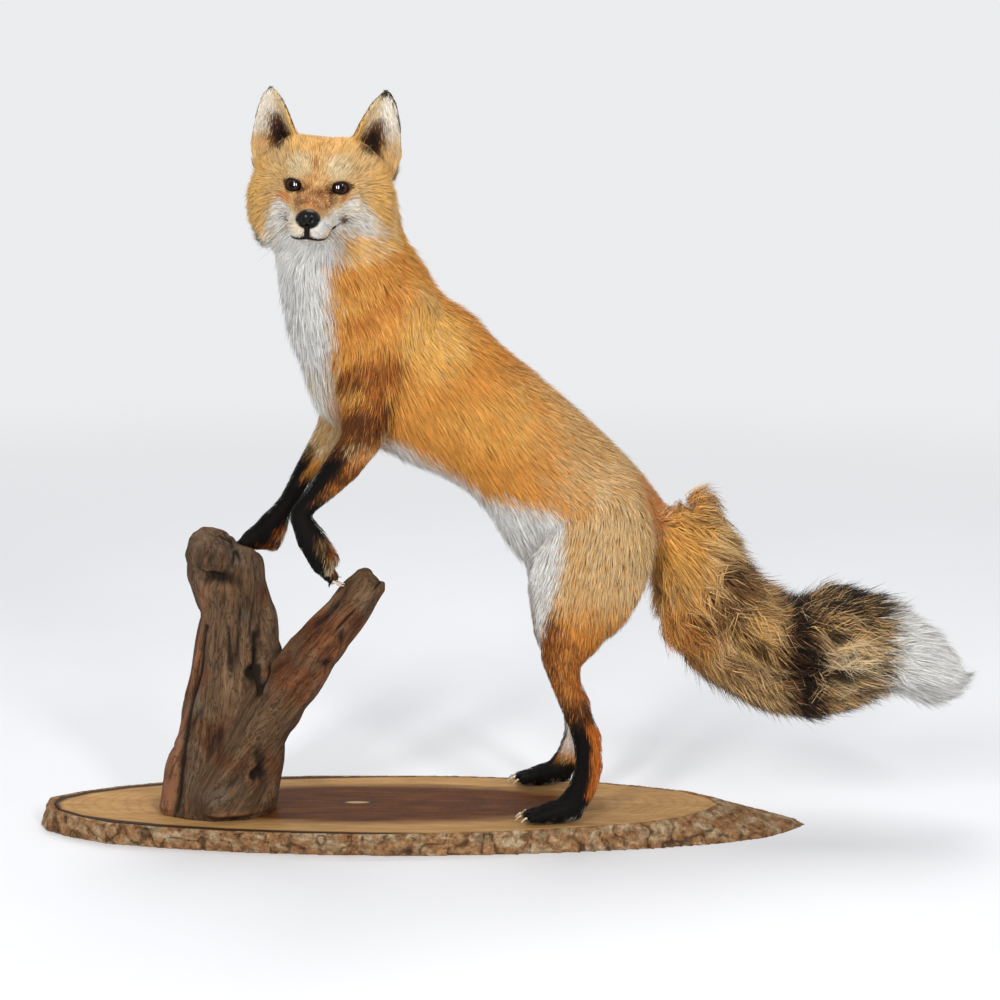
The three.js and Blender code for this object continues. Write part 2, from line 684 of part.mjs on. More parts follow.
function legSolid(rows, grow = 0) {
  return loft(rows, { ...LEG_LOOK, rings: rows.length - 1, grow });
}

function buildTail() {
  const trunk = loft(TRUNK, { ...TRUNK_LOOK, grow: GAP });
  const grown = union([trunk, legSolid(LEFT_HIND, GAP), legSolid(RIGHT_HIND, GAP)]);
  const tail = loft(TAIL, { lateral: UPWARD, sides: 11, rings: 11, domes: [4, 15] });
  const names = ["tail_base", "tail_middle", "tail_end", "tail_tip"];
  const pieces = partAlong(largest(tail.subtract(grown)), TAIL, TAIL_CUTS, UPWARD);
  placeAll(names, pieces, ["coat", "coat", "coat", "pale"]);
}

function buildMount() {
  const wood = slabBlock(BARK_THICK, 0, SLAB_THICK);
  const hole = slabBlock(BARK_THICK - GAP, -1, SLAB_THICK + 1);
  place("slab_wood", wood, "slab");
  place("slab_bark", slabBlock(0, 0, SLAB_THICK).subtract(hole), "bark");
  Object.entries(driftwood()).forEach(([name, solid]) => place(name, largest(solid), "driftwood"));
}

buildHead();
buildBody();
buildLegs();
buildTail();
buildMount();

export default model;
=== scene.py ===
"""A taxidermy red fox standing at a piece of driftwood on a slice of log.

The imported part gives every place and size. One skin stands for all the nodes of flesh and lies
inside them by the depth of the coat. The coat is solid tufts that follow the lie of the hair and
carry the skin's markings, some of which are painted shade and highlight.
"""

import math

import bmesh
import bpy
import numpy as np
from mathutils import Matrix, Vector, bvhtree, kdtree


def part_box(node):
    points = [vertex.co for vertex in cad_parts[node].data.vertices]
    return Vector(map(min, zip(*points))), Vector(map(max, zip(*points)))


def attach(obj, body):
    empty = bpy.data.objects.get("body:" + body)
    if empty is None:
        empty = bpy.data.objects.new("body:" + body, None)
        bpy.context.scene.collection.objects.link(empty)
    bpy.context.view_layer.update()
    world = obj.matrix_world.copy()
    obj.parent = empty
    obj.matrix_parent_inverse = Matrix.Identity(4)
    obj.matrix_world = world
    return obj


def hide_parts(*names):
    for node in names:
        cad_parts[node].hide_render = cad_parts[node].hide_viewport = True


MM = 0.001
SEED = 7

# ---------------------------------------------------------------- camera and light, in metres and degrees
CAMERA_AT = (0.093, -2.7, 0.9)
CAMERA_PITCH = 78.96
CAMERA_LENS = 90.03
CAMERA_SENSOR = 36

ROOM_COLOUR = (0.97, 0.98, 1.0, 1)
ROOM_BRIGHT, ROOM_LIGHT = 0.86, 0.50  # brightness of the room as it is seen, and as it lights the object
FLOOR_HALF = 30.0
FLOOR_NEAR, FLOOR_FAR = 0.7, 3.4  # the floor turns into the room between these distances
LAMPS_AIM = (0.05, 0, 0.45)
# name, where, size across and up, watts
LAMPS = (
    ("key", (-1.05, -2.7, 1.9), (0.36, 1.3), 43),
    ("fill", (1.25, -2.6, 1.8), (0.36, 1.3), 31),
    ("top", (0.2, 0.9, 2.8), (1.2, 2.0), 30),
)
# two tall panels that only the glass eyes see
EYE_LAMPS = (
    ("catchlight_left", (-0.98, -2.7, 0.80), (0.30, 0.95), 140),
    ("catchlight_right", (-0.12, -2.7, 0.80), (0.30, 0.95), 140),
)

# ---------------------------------------------------------------- skin, in millimetres
BRIDGE = 0.6  # how far each flesh node swells, so that the thin gaps between them close
EAR_SWELL = 1.3  # the ears' thin edges swell more, and are taken in again
SKIN_CELL = 2.0  # mesh size of the skin before its plainer parts are thinned
THINNED = 0.36  # share of the faces that thinning leaves
NOSE_DROP = math.atan2(28.5, 65.5)  # the nose lies this far below the line straight ahead of the eyes
EYE_AHEAD = 45.5  # the eyes' middle, ahead of the skull's centre
SNOUT_FROM = 44  # all that lies further ahead than this may be near the mouth
TAKEN_IN = 14  # steps in which the skin is taken in by the coat's depth
TRUNK_ROUNDS = 22  # rounds of smoothing where the coat is deep
LID_REACH = 3.2  # the lids' folds end this far out, in sizes of their opening
LID_ROUNDS = 26  # rounds of smoothing of the folds round the lids

# ---------------------------------------------------------------- coat: one row for each kind of flesh node
# hair length, coat depth over the skin, tuft width (all mm), tufts on each square cm, clumping 0..1
COAT = {
    "muzzle": (5.5, 1.4, 0.55, 110, 0.05),
    "head": (11.0, 3.0, 0.65, 78, 0.10),
    "ear": (7.0, 0.7, 0.55, 70, 0.05),
    "neck": (30.0, 14.0, 0.85, 54, 0.15),
    "chest": (27.0, 13.0, 0.85, 44, 0.13),
    "loin": (25.0, 12.0, 0.85, 44, 0.12),
    "rump": (22.0, 12.0, 0.85, 46, 0.14),
    "tail_base": (29.0, 21.0, 0.95, 40, 0.24),
    "tail_middle": (30.0, 23.0, 0.95, 42, 0.26),
    "tail_end": (30.0, 23.0, 0.95, 44, 0.26),
    "tail_tip": (40.0, 16.0, 0.85, 62, 0.25),
    "upper_arm": (19.0, 7.0, 0.8, 46, 0.15),
    "forearm": (12.0, 3.5, 0.7, 50, 0.10),
    "forepaw": (8.0, 1.8, 0.6, 56, 0.08),
    "thigh": (18.0, 9.0, 0.85, 46, 0.15),
    "shank": (13.0, 4.0, 0.75, 44, 0.12),
    "metatarsus": (9.0, 2.8, 0.65, 46, 0.08),
    "hindpaw": (8.0, 1.8, 0.6, 50, 0.08),
}
LENGTH, DEPTH, WIDTH, COUNT, CLUMP = range(5)

# which nodes share a coat piece
PIECES = {
    "head": ("head", "muzzle"),
    "ear": ("ear",),
    "neck": ("neck",),
    "trunk": ("chest", "loin"),
    "rump": ("rump", "thigh"),
    "foreleg": ("upper_arm", "forearm", "forepaw"),
    "hindleg": ("shank", "metatarsus", "hindpaw"),
    "tail_root": ("tail_base",),
    "tail_middle": ("tail_middle",),
    "tail_end": ("tail_end", "tail_tip"),
}
ONE_PIECE = ("tail_root", "tail_middle", "tail_end")  # the others are in two halves, left and right

# the order in which the hair runs from node to node
CHAINS = (
    ("head", "neck", "chest", "loin", "rump", "tail_base", "tail_middle", "tail_end", "tail_tip"),
    ("upper_arm_left", "forearm_left", "forepaw_left"),
    ("upper_arm_right", "forearm_right", "forepaw_right"),
    ("thigh_left", "shank_left", "metatarsus_left", "hindpaw_left"),
    ("thigh_right", "shank_right", "metatarsus_right", "hindpaw_right"),
)

# ---------------------------------------------------------------- colours of the hair
# at the root, half way and at the tip, 0 to 255 each
HAIR = {
    "flank": ((170, 122, 78), (220, 146, 64), (232, 162, 78)),
    "rust": ((140, 88, 50), (198, 116, 50), (206, 124, 56)),
    "gold": ((190, 142, 88), (240, 176, 88), (250, 198, 108)),
    "white": ((190, 182, 172), (232, 229, 222), (244, 242, 238)),
    "cream": ((176, 146, 108), (228, 200, 154), (238, 218, 180)),
    "grizzle": ((150, 114, 76), (216, 178, 120), (136, 96, 58)),
    "tan": ((166, 128, 84), (216, 172, 112), (234, 202, 150)),
    "ginger": ((146, 76, 30), (208, 112, 42), (222, 130, 56)),
    "brown": ((58, 38, 24), (92, 54, 28), (78, 44, 22)),
    "smoke": ((168, 128, 84), (150, 108, 66), (44, 31, 22)),
    "black": ((22, 17, 14), (17, 13, 11), (14, 11, 10)),
    "bare": ((14, 11, 11), (14, 11, 11), (14, 11, 11)),
}
ZONES = list(HAIR)


# ================================================================ small tools
def ramp(value, low, high):
    """0 at low and 1 at high, with a smooth turn at both; low may be the larger."""
    part = np.clip((value - low) / (high - low), 0, 1)
    return part * part * (3 - 2 * part)


def value_noise(points, cell, seed):
    """Smooth noise from -1 to 1 at each point, with lumps about one cell across."""
    grid = points / cell + seed * 17.31
    corner = np.floor(grid).astype(np.int64)
    part = grid - corner
    part = part * part * (3 - 2 * part)
    total = np.zeros(len(points))
    for step in np.ndindex(2, 2, 2):
        weight = np.prod(np.where(step, part, 1 - part), axis=1)
        at = (corner + step) * (73856093, 19349663, 83492791)
        mixed = at[:, 0] ^ at[:, 1] ^ at[:, 2]
        mixed = ((mixed ^ (mixed >> 13)) * 1274126177) & 0xFFFFFF
        mixed = ((mixed ^ (mixed >> 9)) * 668265263) & 0xFFFFFF
        total += weight * (mixed / 0x7FFFFF - 1)
    return total


def unit(vectors):
    return vectors / np.maximum(np.linalg.norm(vectors, axis=-1, keepdims=True), 1e-12)


def read(collection, name, width, kind=np.float32):
    """One property of every item of a mesh collection, as an array with a row for each item."""
    values = np.empty(len(collection) * width, kind)
    collection.foreach_get(name, values)
    return values.reshape(-1, width) if width > 1 else values


def linear(colour):
    """A colour written as 0 to 255 on a screen, as the linear light that shaders use."""
    part = np.asarray(colour, float) / 255
    return np.where(part <= 0.04045, part / 12.92, ((part + 0.055) / 1.055) ** 2.4)


def rgba(*colour):
    return (*linear(colour), 1.0)


def search_tree(points, triangles):
    """Finds the nearest place on these triangles, or where a ray meets them."""
    return bvhtree.BVHTree.FromPolygons(points.tolist(), triangles.tolist())


def points_of(mesh):
    return read(mesh.vertices, "co", 3).astype(float)


def set_points(mesh, points):
    mesh.vertices.foreach_set("co", points.astype(np.float32).ravel())


def mesh_of(shape, name):
    """A mesh from a finished bmesh."""
    mesh = bpy.data.meshes.new(name)
    shape.to_mesh(mesh)
    shape.free()
    return mesh


def ball(name, around, up):
    """A round mesh of radius 1."""
    shape = bmesh.new()
    bmesh.ops.create_uvsphere(shape, u_segments=around, v_segments=up, radius=1.0)
    return mesh_of(shape, name)


def mound(points, centre, radii):
    """1 at a centre, falling off softly to all sides."""
    return np.exp(-(((points - centre) / radii) ** 2).sum(axis=1))


def groove(value, width):
    """1 where a value passes through zero, falling off to both sides."""
    return np.exp(-((value / width) ** 2))


class Surface:
    """A mesh's points, triangles and neighbours as arrays."""

    def __init__(self, mesh):
        self.points = points_of(mesh)
        self.edges = read(mesh.edges, "vertices", 2, np.int32)
        mesh.calc_loop_triangles()
        self.triangles = read(mesh.loop_triangles, "vertices", 3, np.int32)
        self.degree = np.maximum(np.bincount(self.edges.ravel(), minlength=len(self.points)), 1)

    def spread(self, values, rounds=1, share=1.0):
        """Each value moved towards the mean of its neighbours, as many times as rounds says."""
        values = np.array(values, float)
        columns = values.reshape(len(values), -1)
        ends, starts = self.edges[:, 0], self.edges[:, 1]
        for _ in range(rounds):
            for c in range(columns.shape[1]):
                total = np.bincount(ends, columns[starts, c], len(columns))
                total += np.bincount(starts, columns[ends, c], len(columns))
                columns[:, c] += share * (total / self.degree - columns[:, c])
        return columns.reshape(values.shape)

    def normals(self):
        corners = self.points[self.triangles]
        face = np.cross(corners[:, 1] - corners[:, 0], corners[:, 2] - corners[:, 0])
        total = np.zeros_like(self.points)
        for c in range(3):
            for k in range(3):
                total[:, k] += np.bincount(self.triangles[:, c], face[:, k], len(self.points))
        return unit(total)

    def smooth(self, share, rounds=1):
        """Moves the points towards the mean of their neighbours, each by its share of the way."""
        for _ in range(rounds):
            self.points += share[:, None] * (self.spread(self.points) - self.points)

    def relax(self, rounds, weight):
        """Smooths the shape without shrinking it, more where weight is larger."""
        for _ in range(rounds):
            self.smooth(weight * 0.5)
            self.smooth(weight * -0.52)


def new_object(name, mesh):
    piece = bpy.data.objects.new(name, mesh)
    bpy.context.scene.collection.objects.link(piece)
    return piece


def with_modifiers(piece):
    """The mesh that the piece's modifiers make; the modifiers are removed."""
    bpy.context.view_layer.update()
    made = bpy.data.meshes.new_from_object(piece.evaluated_get(bpy.context.evaluated_depsgraph_get()))
    piece.modifiers.clear()
    return made


def remeshed(mesh, cell):
    piece = new_object("remesh", mesh)
    step = piece.modifiers.new("remesh", "REMESH")
    step.mode = "VOXEL"
    step.voxel_size = cell * MM
    made = with_modifiers(piece)
    bpy.data.objects.remove(piece)
    return made


def joined_copies(nodes, swell):
    """One mesh of closed copies of CAD nodes, each point moved outwards by swell[node] millimetres."""
    whole = bmesh.new()
    for name in nodes:
        part = bmesh.new()
        part.from_mesh(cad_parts[name].data)
        bmesh.ops.remove_doubles(part, verts=part.verts, dist=0.01 * MM)
        part.normal_update()
        for v in part.verts:
            v.co += v.normal * swell.get(name, BRIDGE) * MM
        mesh = mesh_of(part, name)
        whole.from_mesh(mesh)
        bpy.data.meshes.remove(mesh)
    return mesh_of(whole, "joined")


def store(mesh, name, values, kind="FLOAT_COLOR"):
    made = mesh.attributes.new(name, kind, "POINT")
    if kind == "FLOAT_COLOR":
        full = np.ones((len(values), 4), np.float32)
        full[:, : values.shape[1]] = values
        made.data.foreach_set("color", full.ravel())
    else:
        made.data.foreach_set("value", np.asarray(values, np.float32))


def middle(node):
    low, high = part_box(node)
    return (np.array(low) + np.array(high)) / 2


def kind_of(node):
    return node.replace("_left", "").replace("_right", "")


# ================================================================ the frame and the head's own directions
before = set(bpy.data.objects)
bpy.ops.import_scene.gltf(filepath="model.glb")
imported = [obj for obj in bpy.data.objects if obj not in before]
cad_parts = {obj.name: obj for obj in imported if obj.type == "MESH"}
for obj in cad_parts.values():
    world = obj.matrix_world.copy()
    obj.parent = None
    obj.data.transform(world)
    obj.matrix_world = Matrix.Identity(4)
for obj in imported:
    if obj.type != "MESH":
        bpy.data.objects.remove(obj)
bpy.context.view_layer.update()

FLESH = sorted(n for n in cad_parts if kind_of(n) in COAT)
KINDS = np.array([kind_of(n) for n in FLESH])
CLAWS = sorted(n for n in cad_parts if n.startswith("claw_"))


def head_axes():
    """The head's directions ahead, to its left and up, one in each row, and its centre."""
    left_eye, right_eye = middle("eye_left"), middle("eye_right")
    between = (left_eye + right_eye) / 2
    left = unit(left_eye - right_eye)
    to_nose = unit(middle("nose") - between)
    across = unit(np.cross(to_nose, left))
    ahead = math.cos(NOSE_DROP) * to_nose + math.sin(NOSE_DROP) * across
    up = math.cos(NOSE_DROP) * across - math.sin(NOSE_DROP) * to_nose
    return np.array([ahead, left, up]), between - ahead * EYE_AHEAD * MM


HEAD_AXES, HEAD_CENTRE = head_axes()


def in_head(points):
    """Points as millimetres ahead, to the left and up in the head."""
    return (points - HEAD_CENTRE) @ HEAD_AXES.T / MM


def one_side(local):
    """Points in the head with both its sides laid on the left one."""
    return np.stack([local[:, 0], np.abs(local[:, 1]), local[:, 2]], axis=1)


def from_head(local):
    return np.asarray(local, float) * MM @ HEAD_AXES + HEAD_CENTRE


# ================================================================ skin
EYE_FILL = 2.6  # swelling of the eye in the skin's rough shape, which fills its hollow
NOSE_FILL = -0.8  # the skin runs under the nose pad
EYE_TURN = math.radians(20)  # each eye looks this far outwards
LID_TILT = math.radians(7)  # the outer corner is the higher one
LID_OUTER, LID_INNER, LID_UPPER, LID_LOWER = 7.2, 8.2, 5.9, 5.1  # half sizes of the opening
LID_THICK = 0.7
DEEP_COAT = ("neck", "chest", "loin", "rump", "thigh")
FIRM = ("head", "muzzle", "ear", "forepaw", "hindpaw")  # these keep a fine skin and their own directions
# the mouth from under the nose to its corner, in the head: ahead, to the side, up
MOUTH = (
    (112, 0, -49.5),
    (110, 7, -50.5),
    (103, 14, -51),
    (92, 20, -50),
    (78, 27, -46),
    (64, 34, -40),
    (52, 41, -33),
)
PHILTRUM = ((118, 0, -36), (116, 0, -43), (112, 0, -49.5))

# where the face swells or sinks: centre and radii in the head (both sides alike), and by how much
FACE = (
    ((41, 25, 14), (10, 12, 6), 2.2),  # brow
    ((58, 0, -3), (12, 8, 10), -1.6),  # stop
    ((35, 40, -10), (12, 10, 8), 1.2),  # cheekbone
    ((66, 17, -17), (10, 6, 8), -1.6),  # hollow before the eye
    ((101, 13, -38), (12, 7, 9), 1.8),  # whisker pad
    ((98, 0, -60), (12, 12, 6), 1.0),  # chin
    ((88, 0, -18), (22, 5, 6), 0.8),  # bridge of the nose
)


def eye_frames():
    """For each eye: its centre, and rows of directions out of the eye, to its outer corner and up."""
    found = {}
    for side, sign in (("left", 1), ("right", -1)):
        out = np.array([math.cos(EYE_TURN), sign * math.sin(EYE_TURN), 0])
        across = np.array([-math.sin(EYE_TURN), sign * math.cos(EYE_TURN), 0])
        up = np.array([0, 0, 1.0])
        outer = math.cos(LID_TILT) * across + math.sin(LID_TILT) * up
        upper = math.cos(LID_TILT) * up - math.sin(LID_TILT) * across
        rows = np.array([out, outer, upper]) @ HEAD_AXES
        found[side] = (middle("eye_" + side), rows)
    return found


# the left ear's middle line in the head, its half width at the base, and how far its opening turns outwards
EAR_BASE, EAR_TIP = (-4, 52, 30), (-8, 61, 98.5)
EAR_HALF = 29.5
EAR_TURN = 0.42
EYES = eye_frames()
EYE_RADIUS = (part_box("eye_left")[1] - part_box("eye_left")[0])[0] / 2 / MM
FAR_OFF = 9.0  # stands for the edge measure behind the eye


def eye_measure(points, side):
    """Millimetres out of the eye, and how far out of the lids' opening a point is: 1 on its edge."""
    centre, rows = EYES[side]
    local = (points - centre) @ rows.T / MM
    wide = np.where(local[:, 1] > 0, LID_OUTER, LID_INNER)
    high = np.where(local[:, 2] > 0, LID_UPPER, LID_LOWER)
    edge = np.sqrt((local[:, 1] / wide) ** 2 + (local[:, 2] / high) ** 2)
    return local, np.where(local[:, 0] < -EYE_RADIUS, FAR_OFF, edge)


def line_points(corners, count):
    """Points evenly along a smooth line through the corners."""
    corners = np.array(corners, float)
    along = np.concatenate([[0], np.cumsum(np.linalg.norm(np.diff(corners, axis=0), axis=1))])
    fine = np.linspace(0, along[-1], count)
    plain = np.stack([np.interp(fine, along, corners[:, k]) for k in range(3)], axis=1)
    for _ in range(count // 12):
        plain[1:-1] += 0.5 * ((plain[:-2] + plain[2:]) / 2 - plain[1:-1])
    return plain


def distance_to_line(local, line):
    """Distance to the nearest point of a line, and that point."""
    gap = local[:, None, :] - line[None, :, :]
    squared = (gap**2).sum(axis=2)
    nearest = squared.argmin(axis=1)
    return np.sqrt(squared[np.arange(len(local)), nearest]), line[nearest]


def nearest_nodes(points, nodes):
    """The number of the nearest of these CAD nodes to each point."""
    corners, faces, owner = [], [], []
    for number, name in enumerate(nodes):
        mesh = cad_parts[name].data
        mesh.calc_loop_triangles()
        start = sum(len(c) for c in corners)
        corners.append(read(mesh.vertices, "co", 3))
        triangles = read(mesh.loop_triangles, "vertices", 3, np.int32)
        faces.append(triangles + start)
        owner.append(np.full(len(triangles), number))
    tree = search_tree(np.concatenate(corners), np.concatenate(faces))
    owner = np.concatenate(owner)
    return np.array([owner[tree.find_nearest(p)[2]] for p in points.tolist()])


def head_share(surface, owner):
    """1 on the head and 0 on the body, with a soft change between."""
    on_head = np.isin(KINDS, ("head", "muzzle", "ear")).astype(float)
    return surface.spread(on_head[owner], 10)


def coat_depth(surface, owner):
    """The coat's depth at each point of the skin, in millimetres."""
    by_node = np.array([COAT[kind][DEPTH] for kind in KINDS])
    depth = surface.spread(by_node[owner], 24)
    local = in_head(surface.points)
    cheek = ramp(np.abs(local[:, 1]), 34, 58) * ramp(local[:, 0], 48, 22) * ramp(local[:, 2], 24, -4)
    throat = ramp(local[:, 2], -34, -56) * ramp(local[:, 0], 74, 46)
    on_head = head_share(surface, owner)
    depth += on_head * (6.5 * np.maximum(cheek, 0.8 * throat))
    return np.where(KINDS[owner] == "ear", np.minimum(depth, 0.8), depth)


def rough_skin():
    """All the flesh in one closed mesh, taken in by the coat's depth, and a tree of its outer shape."""
    filled = {"eye_left": EYE_FILL, "eye_right": EYE_FILL, "nose": NOSE_FILL}
    swell = {"ear_left": EAR_SWELL, "ear_right": EAR_SWELL, **filled}
    mesh = remeshed(joined_copies(FLESH + list(filled), swell), SKIN_CELL)
    surface = Surface(mesh)
    outer = search_tree(surface.points, surface.triangles)
    owner = nearest_nodes(surface.points, FLESH)
    depth = coat_depth(surface, owner)
    softness = np.clip((depth - 2) / 8, 0, 1)
    for _ in range(TAKEN_IN):
        surface.points -= surface.normals() * (depth[:, None] * MM / TAKEN_IN)
        surface.smooth(softness * 0.6, 2)
    set_points(mesh, surface.points)
    return thinned(remeshed(mesh, SKIN_CELL)), outer


def thinned(mesh):
    """Fewer faces on the body and the tail, while the head and the feet keep theirs."""
    surface = Surface(mesh)
    owner = nearest_nodes(surface.points, FLESH)
    fine = np.isin(KINDS, FIRM)
    piece = new_object("thin", mesh)
    group = piece.vertex_groups.new(name="plain")
    group.add(np.flatnonzero(~fine[owner]).tolist(), 1.0, "REPLACE")
    step = piece.modifiers.new("thin", "DECIMATE")
    step.ratio = THINNED
    step.vertex_group = "plain"
    step.vertex_group_factor = 10
    made = with_modifiers(piece)
    bpy.data.objects.remove(piece)
    return made


def refine(mesh, wanted):
    """Halves the faces whose middles the function wanted picks."""
    shape = bmesh.new()
    shape.from_mesh(mesh)
    middles = np.array([f.calc_center_median() for f in shape.faces])
    chosen = wanted(middles)
    edges = {e for f, pick in zip(shape.faces, chosen) if pick for e in f.edges}
    bmesh.ops.subdivide_edges(shape, edges=list(edges), cuts=1, use_grid_fill=True)
    bmesh.ops.triangulate(shape, faces=[f for f in shape.faces if len(f.verts) > 4])
    shape.to_mesh(mesh)
    shape.free()
    return mesh


def near_features(reach):
    """A test for points within reach millimetres of an eye, the mouth or the nose's edge."""
    mouth = mouth_lines()

    def wanted(points):
        local = in_head(points)
        picked = np.zeros(len(points), bool)
        for side in EYES:
            picked |= np.linalg.norm(points - EYES[side][0], axis=1) < (EYE_RADIUS + reach) * MM
        ahead = (local[:, 0] > 40) & (np.abs(local[:, 1]) < 55) & (np.abs(local[:, 2]) < 80)
        distance, _ = distance_to_line(local[ahead], mouth)
        picked[ahead] |= distance < reach
        return picked

    return wanted


def mouth_lines():
    """The mouth's line on both sides and the groove under the nose, in the head."""
    left = line_points(MOUTH, 60)
    right = left * (1, -1, 1)
    return np.concatenate([left, right, line_points(PHILTRUM, 14)])


def mouth_distance(local):
    """Millimetres to the mouth's lines for points of the snout, and a long way for all others."""
    snout = local[:, 0] > SNOUT_FROM
    distance = np.full(len(local), 99.0)
    if snout.any():
        distance[snout], _ = distance_to_line(local[snout], mouth_lines())
    return distance


def sculpt(surface):
    """The face's swellings and hollows, the lids round the eyes, the lips and the groove under the nose."""
    local = in_head(surface.points)
    near = (np.abs(local) < (140, 80, 90)).all(axis=1)
    normals = surface.normals()
    move = np.zeros(len(surface.points))
    both = one_side(local)
    for centre, radii, amount in FACE:
        move += amount * mound(local if centre[1] == 0 else both, centre, radii)
    snout = near & (local[:, 0] > SNOUT_FROM)
    distance, nearest = distance_to_line(local[snout], mouth_lines())
    below = ramp(nearest[:, 2] - local[snout, 2], 0.2, 1.6)
    move[snout] -= 1.7 * groove(distance, 1.2)
    move[snout] -= 1.1 * below * groove(distance, 7)
    move[snout] += 0.7 * (1 - below) * groove(distance - 3.5, 2.5)
    surface.points[near] += normals[near] * move[near, None] * MM
    for side in EYES:
        set_lids(surface, side)


def set_lids(surface, side):
    """Wraps the skin round the eye as lids, and takes it back behind the eye inside their opening."""
    centre, rows = EYES[side]
    local, edge = eye_measure(surface.points, side)
    around = (local[:, 0] > 0) & (edge < LID_REACH)
    out, edge = local[around], edge[around]
    flat = (out[:, 1:] ** 2).sum(axis=1)
    lid = EYE_RADIUS + LID_THICK + 0.9 * np.clip(edge - 1, 0, 1)
    on_lid = np.sqrt(np.maximum(lid**2 - flat, 1.0))
    behind = np.sqrt(np.maximum((EYE_RADIUS - 2.2) ** 2 - flat, 0.5))
    share = ramp(edge, 2.5, 1.35)
    target = np.where(edge < 1, behind, on_lid)
    out[:, 0] += share * (target - out[:, 0])
    surface.points[around] = out * MM @ rows + centre
    local, edge = eye_measure(surface.points, side)
    fold = ramp(edge, 1.3, 1.75) * ramp(edge, 4.4, 3.2) * (local[:, 0] > -2)
    surface.smooth(0.7 * fold, LID_ROUNDS)


def make_skin():
    """The finished skin, its arrays, for each point the nearest flesh node, and the coat's outer shape."""
    mesh, outer = rough_skin()
    surface = Surface(mesh)
    owner = nearest_nodes(surface.points, FLESH)
    firm = {"ear": 0.45, "forepaw": 0.25, "hindpaw": 0.25, "muzzle": 0.6, "metatarsus": 0.6}
    weight = surface.spread(np.array([firm.get(kind, 0.9) for kind in KINDS])[owner], 3)
    surface.relax(12, weight)
    soft = surface.spread(np.isin(KINDS, DEEP_COAT).astype(float)[owner], 4)
    surface.smooth(0.7 * soft, TRUNK_ROUNDS)
    set_points(mesh, surface.points)
    mesh = refine(mesh, near_features(9))
    mesh = refine(mesh, near_features(4))
    surface = Surface(mesh)
    near = in_head(surface.points)[:, 0] > 30
    surface.relax(3, near * 0.8)
    sculpt(surface)
    set_points(mesh, surface.points)
    mesh.update()
    for face in mesh.polygons:
        face.use_smooth = True
    return new_object("skin", mesh), surface, nearest_nodes(surface.points, FLESH), outer


# ================================================================ markings: which kind of hair grows where, with some painted shade and highlight
def patch(points, centre, radii):
    """1 in the middle of an egg-shaped patch, and 0 outside it."""
    return ramp(np.sqrt((((points - centre) / radii) ** 2).sum(axis=1)), 1.25, 0.7)


def markings(points, normals, owner):
    """The share of each kind of hair at each point, from where it is on the animal; some of the dark and pale
    hair is painted shade and highlight.
    """
    kinds = KINDS[owner]
    share = np.zeros((len(points), len(ZONES)))
    share[:, ZONES.index("flank")] = 1

    def lay(zone, mask):
        share[:] *= (1 - mask)[:, None]
        share[:, ZONES.index(zone)] += mask

    body = points / MM
    patchy = value_noise(points, 0.022, 3)
    fine = value_noise(points, 0.007, 4)
    mark_trunk(lay, body, normals, kinds, patchy, fine)
    mark_tail(lay, body, normals, kinds, patchy, fine)
    mark_forelegs(lay, body, normals, kinds, patchy, fine)
    mark_hindlegs(lay, body, normals, kinds, patchy, fine)
    mark_head(lay, in_head(points), normals, kinds, patchy, fine)
    return share


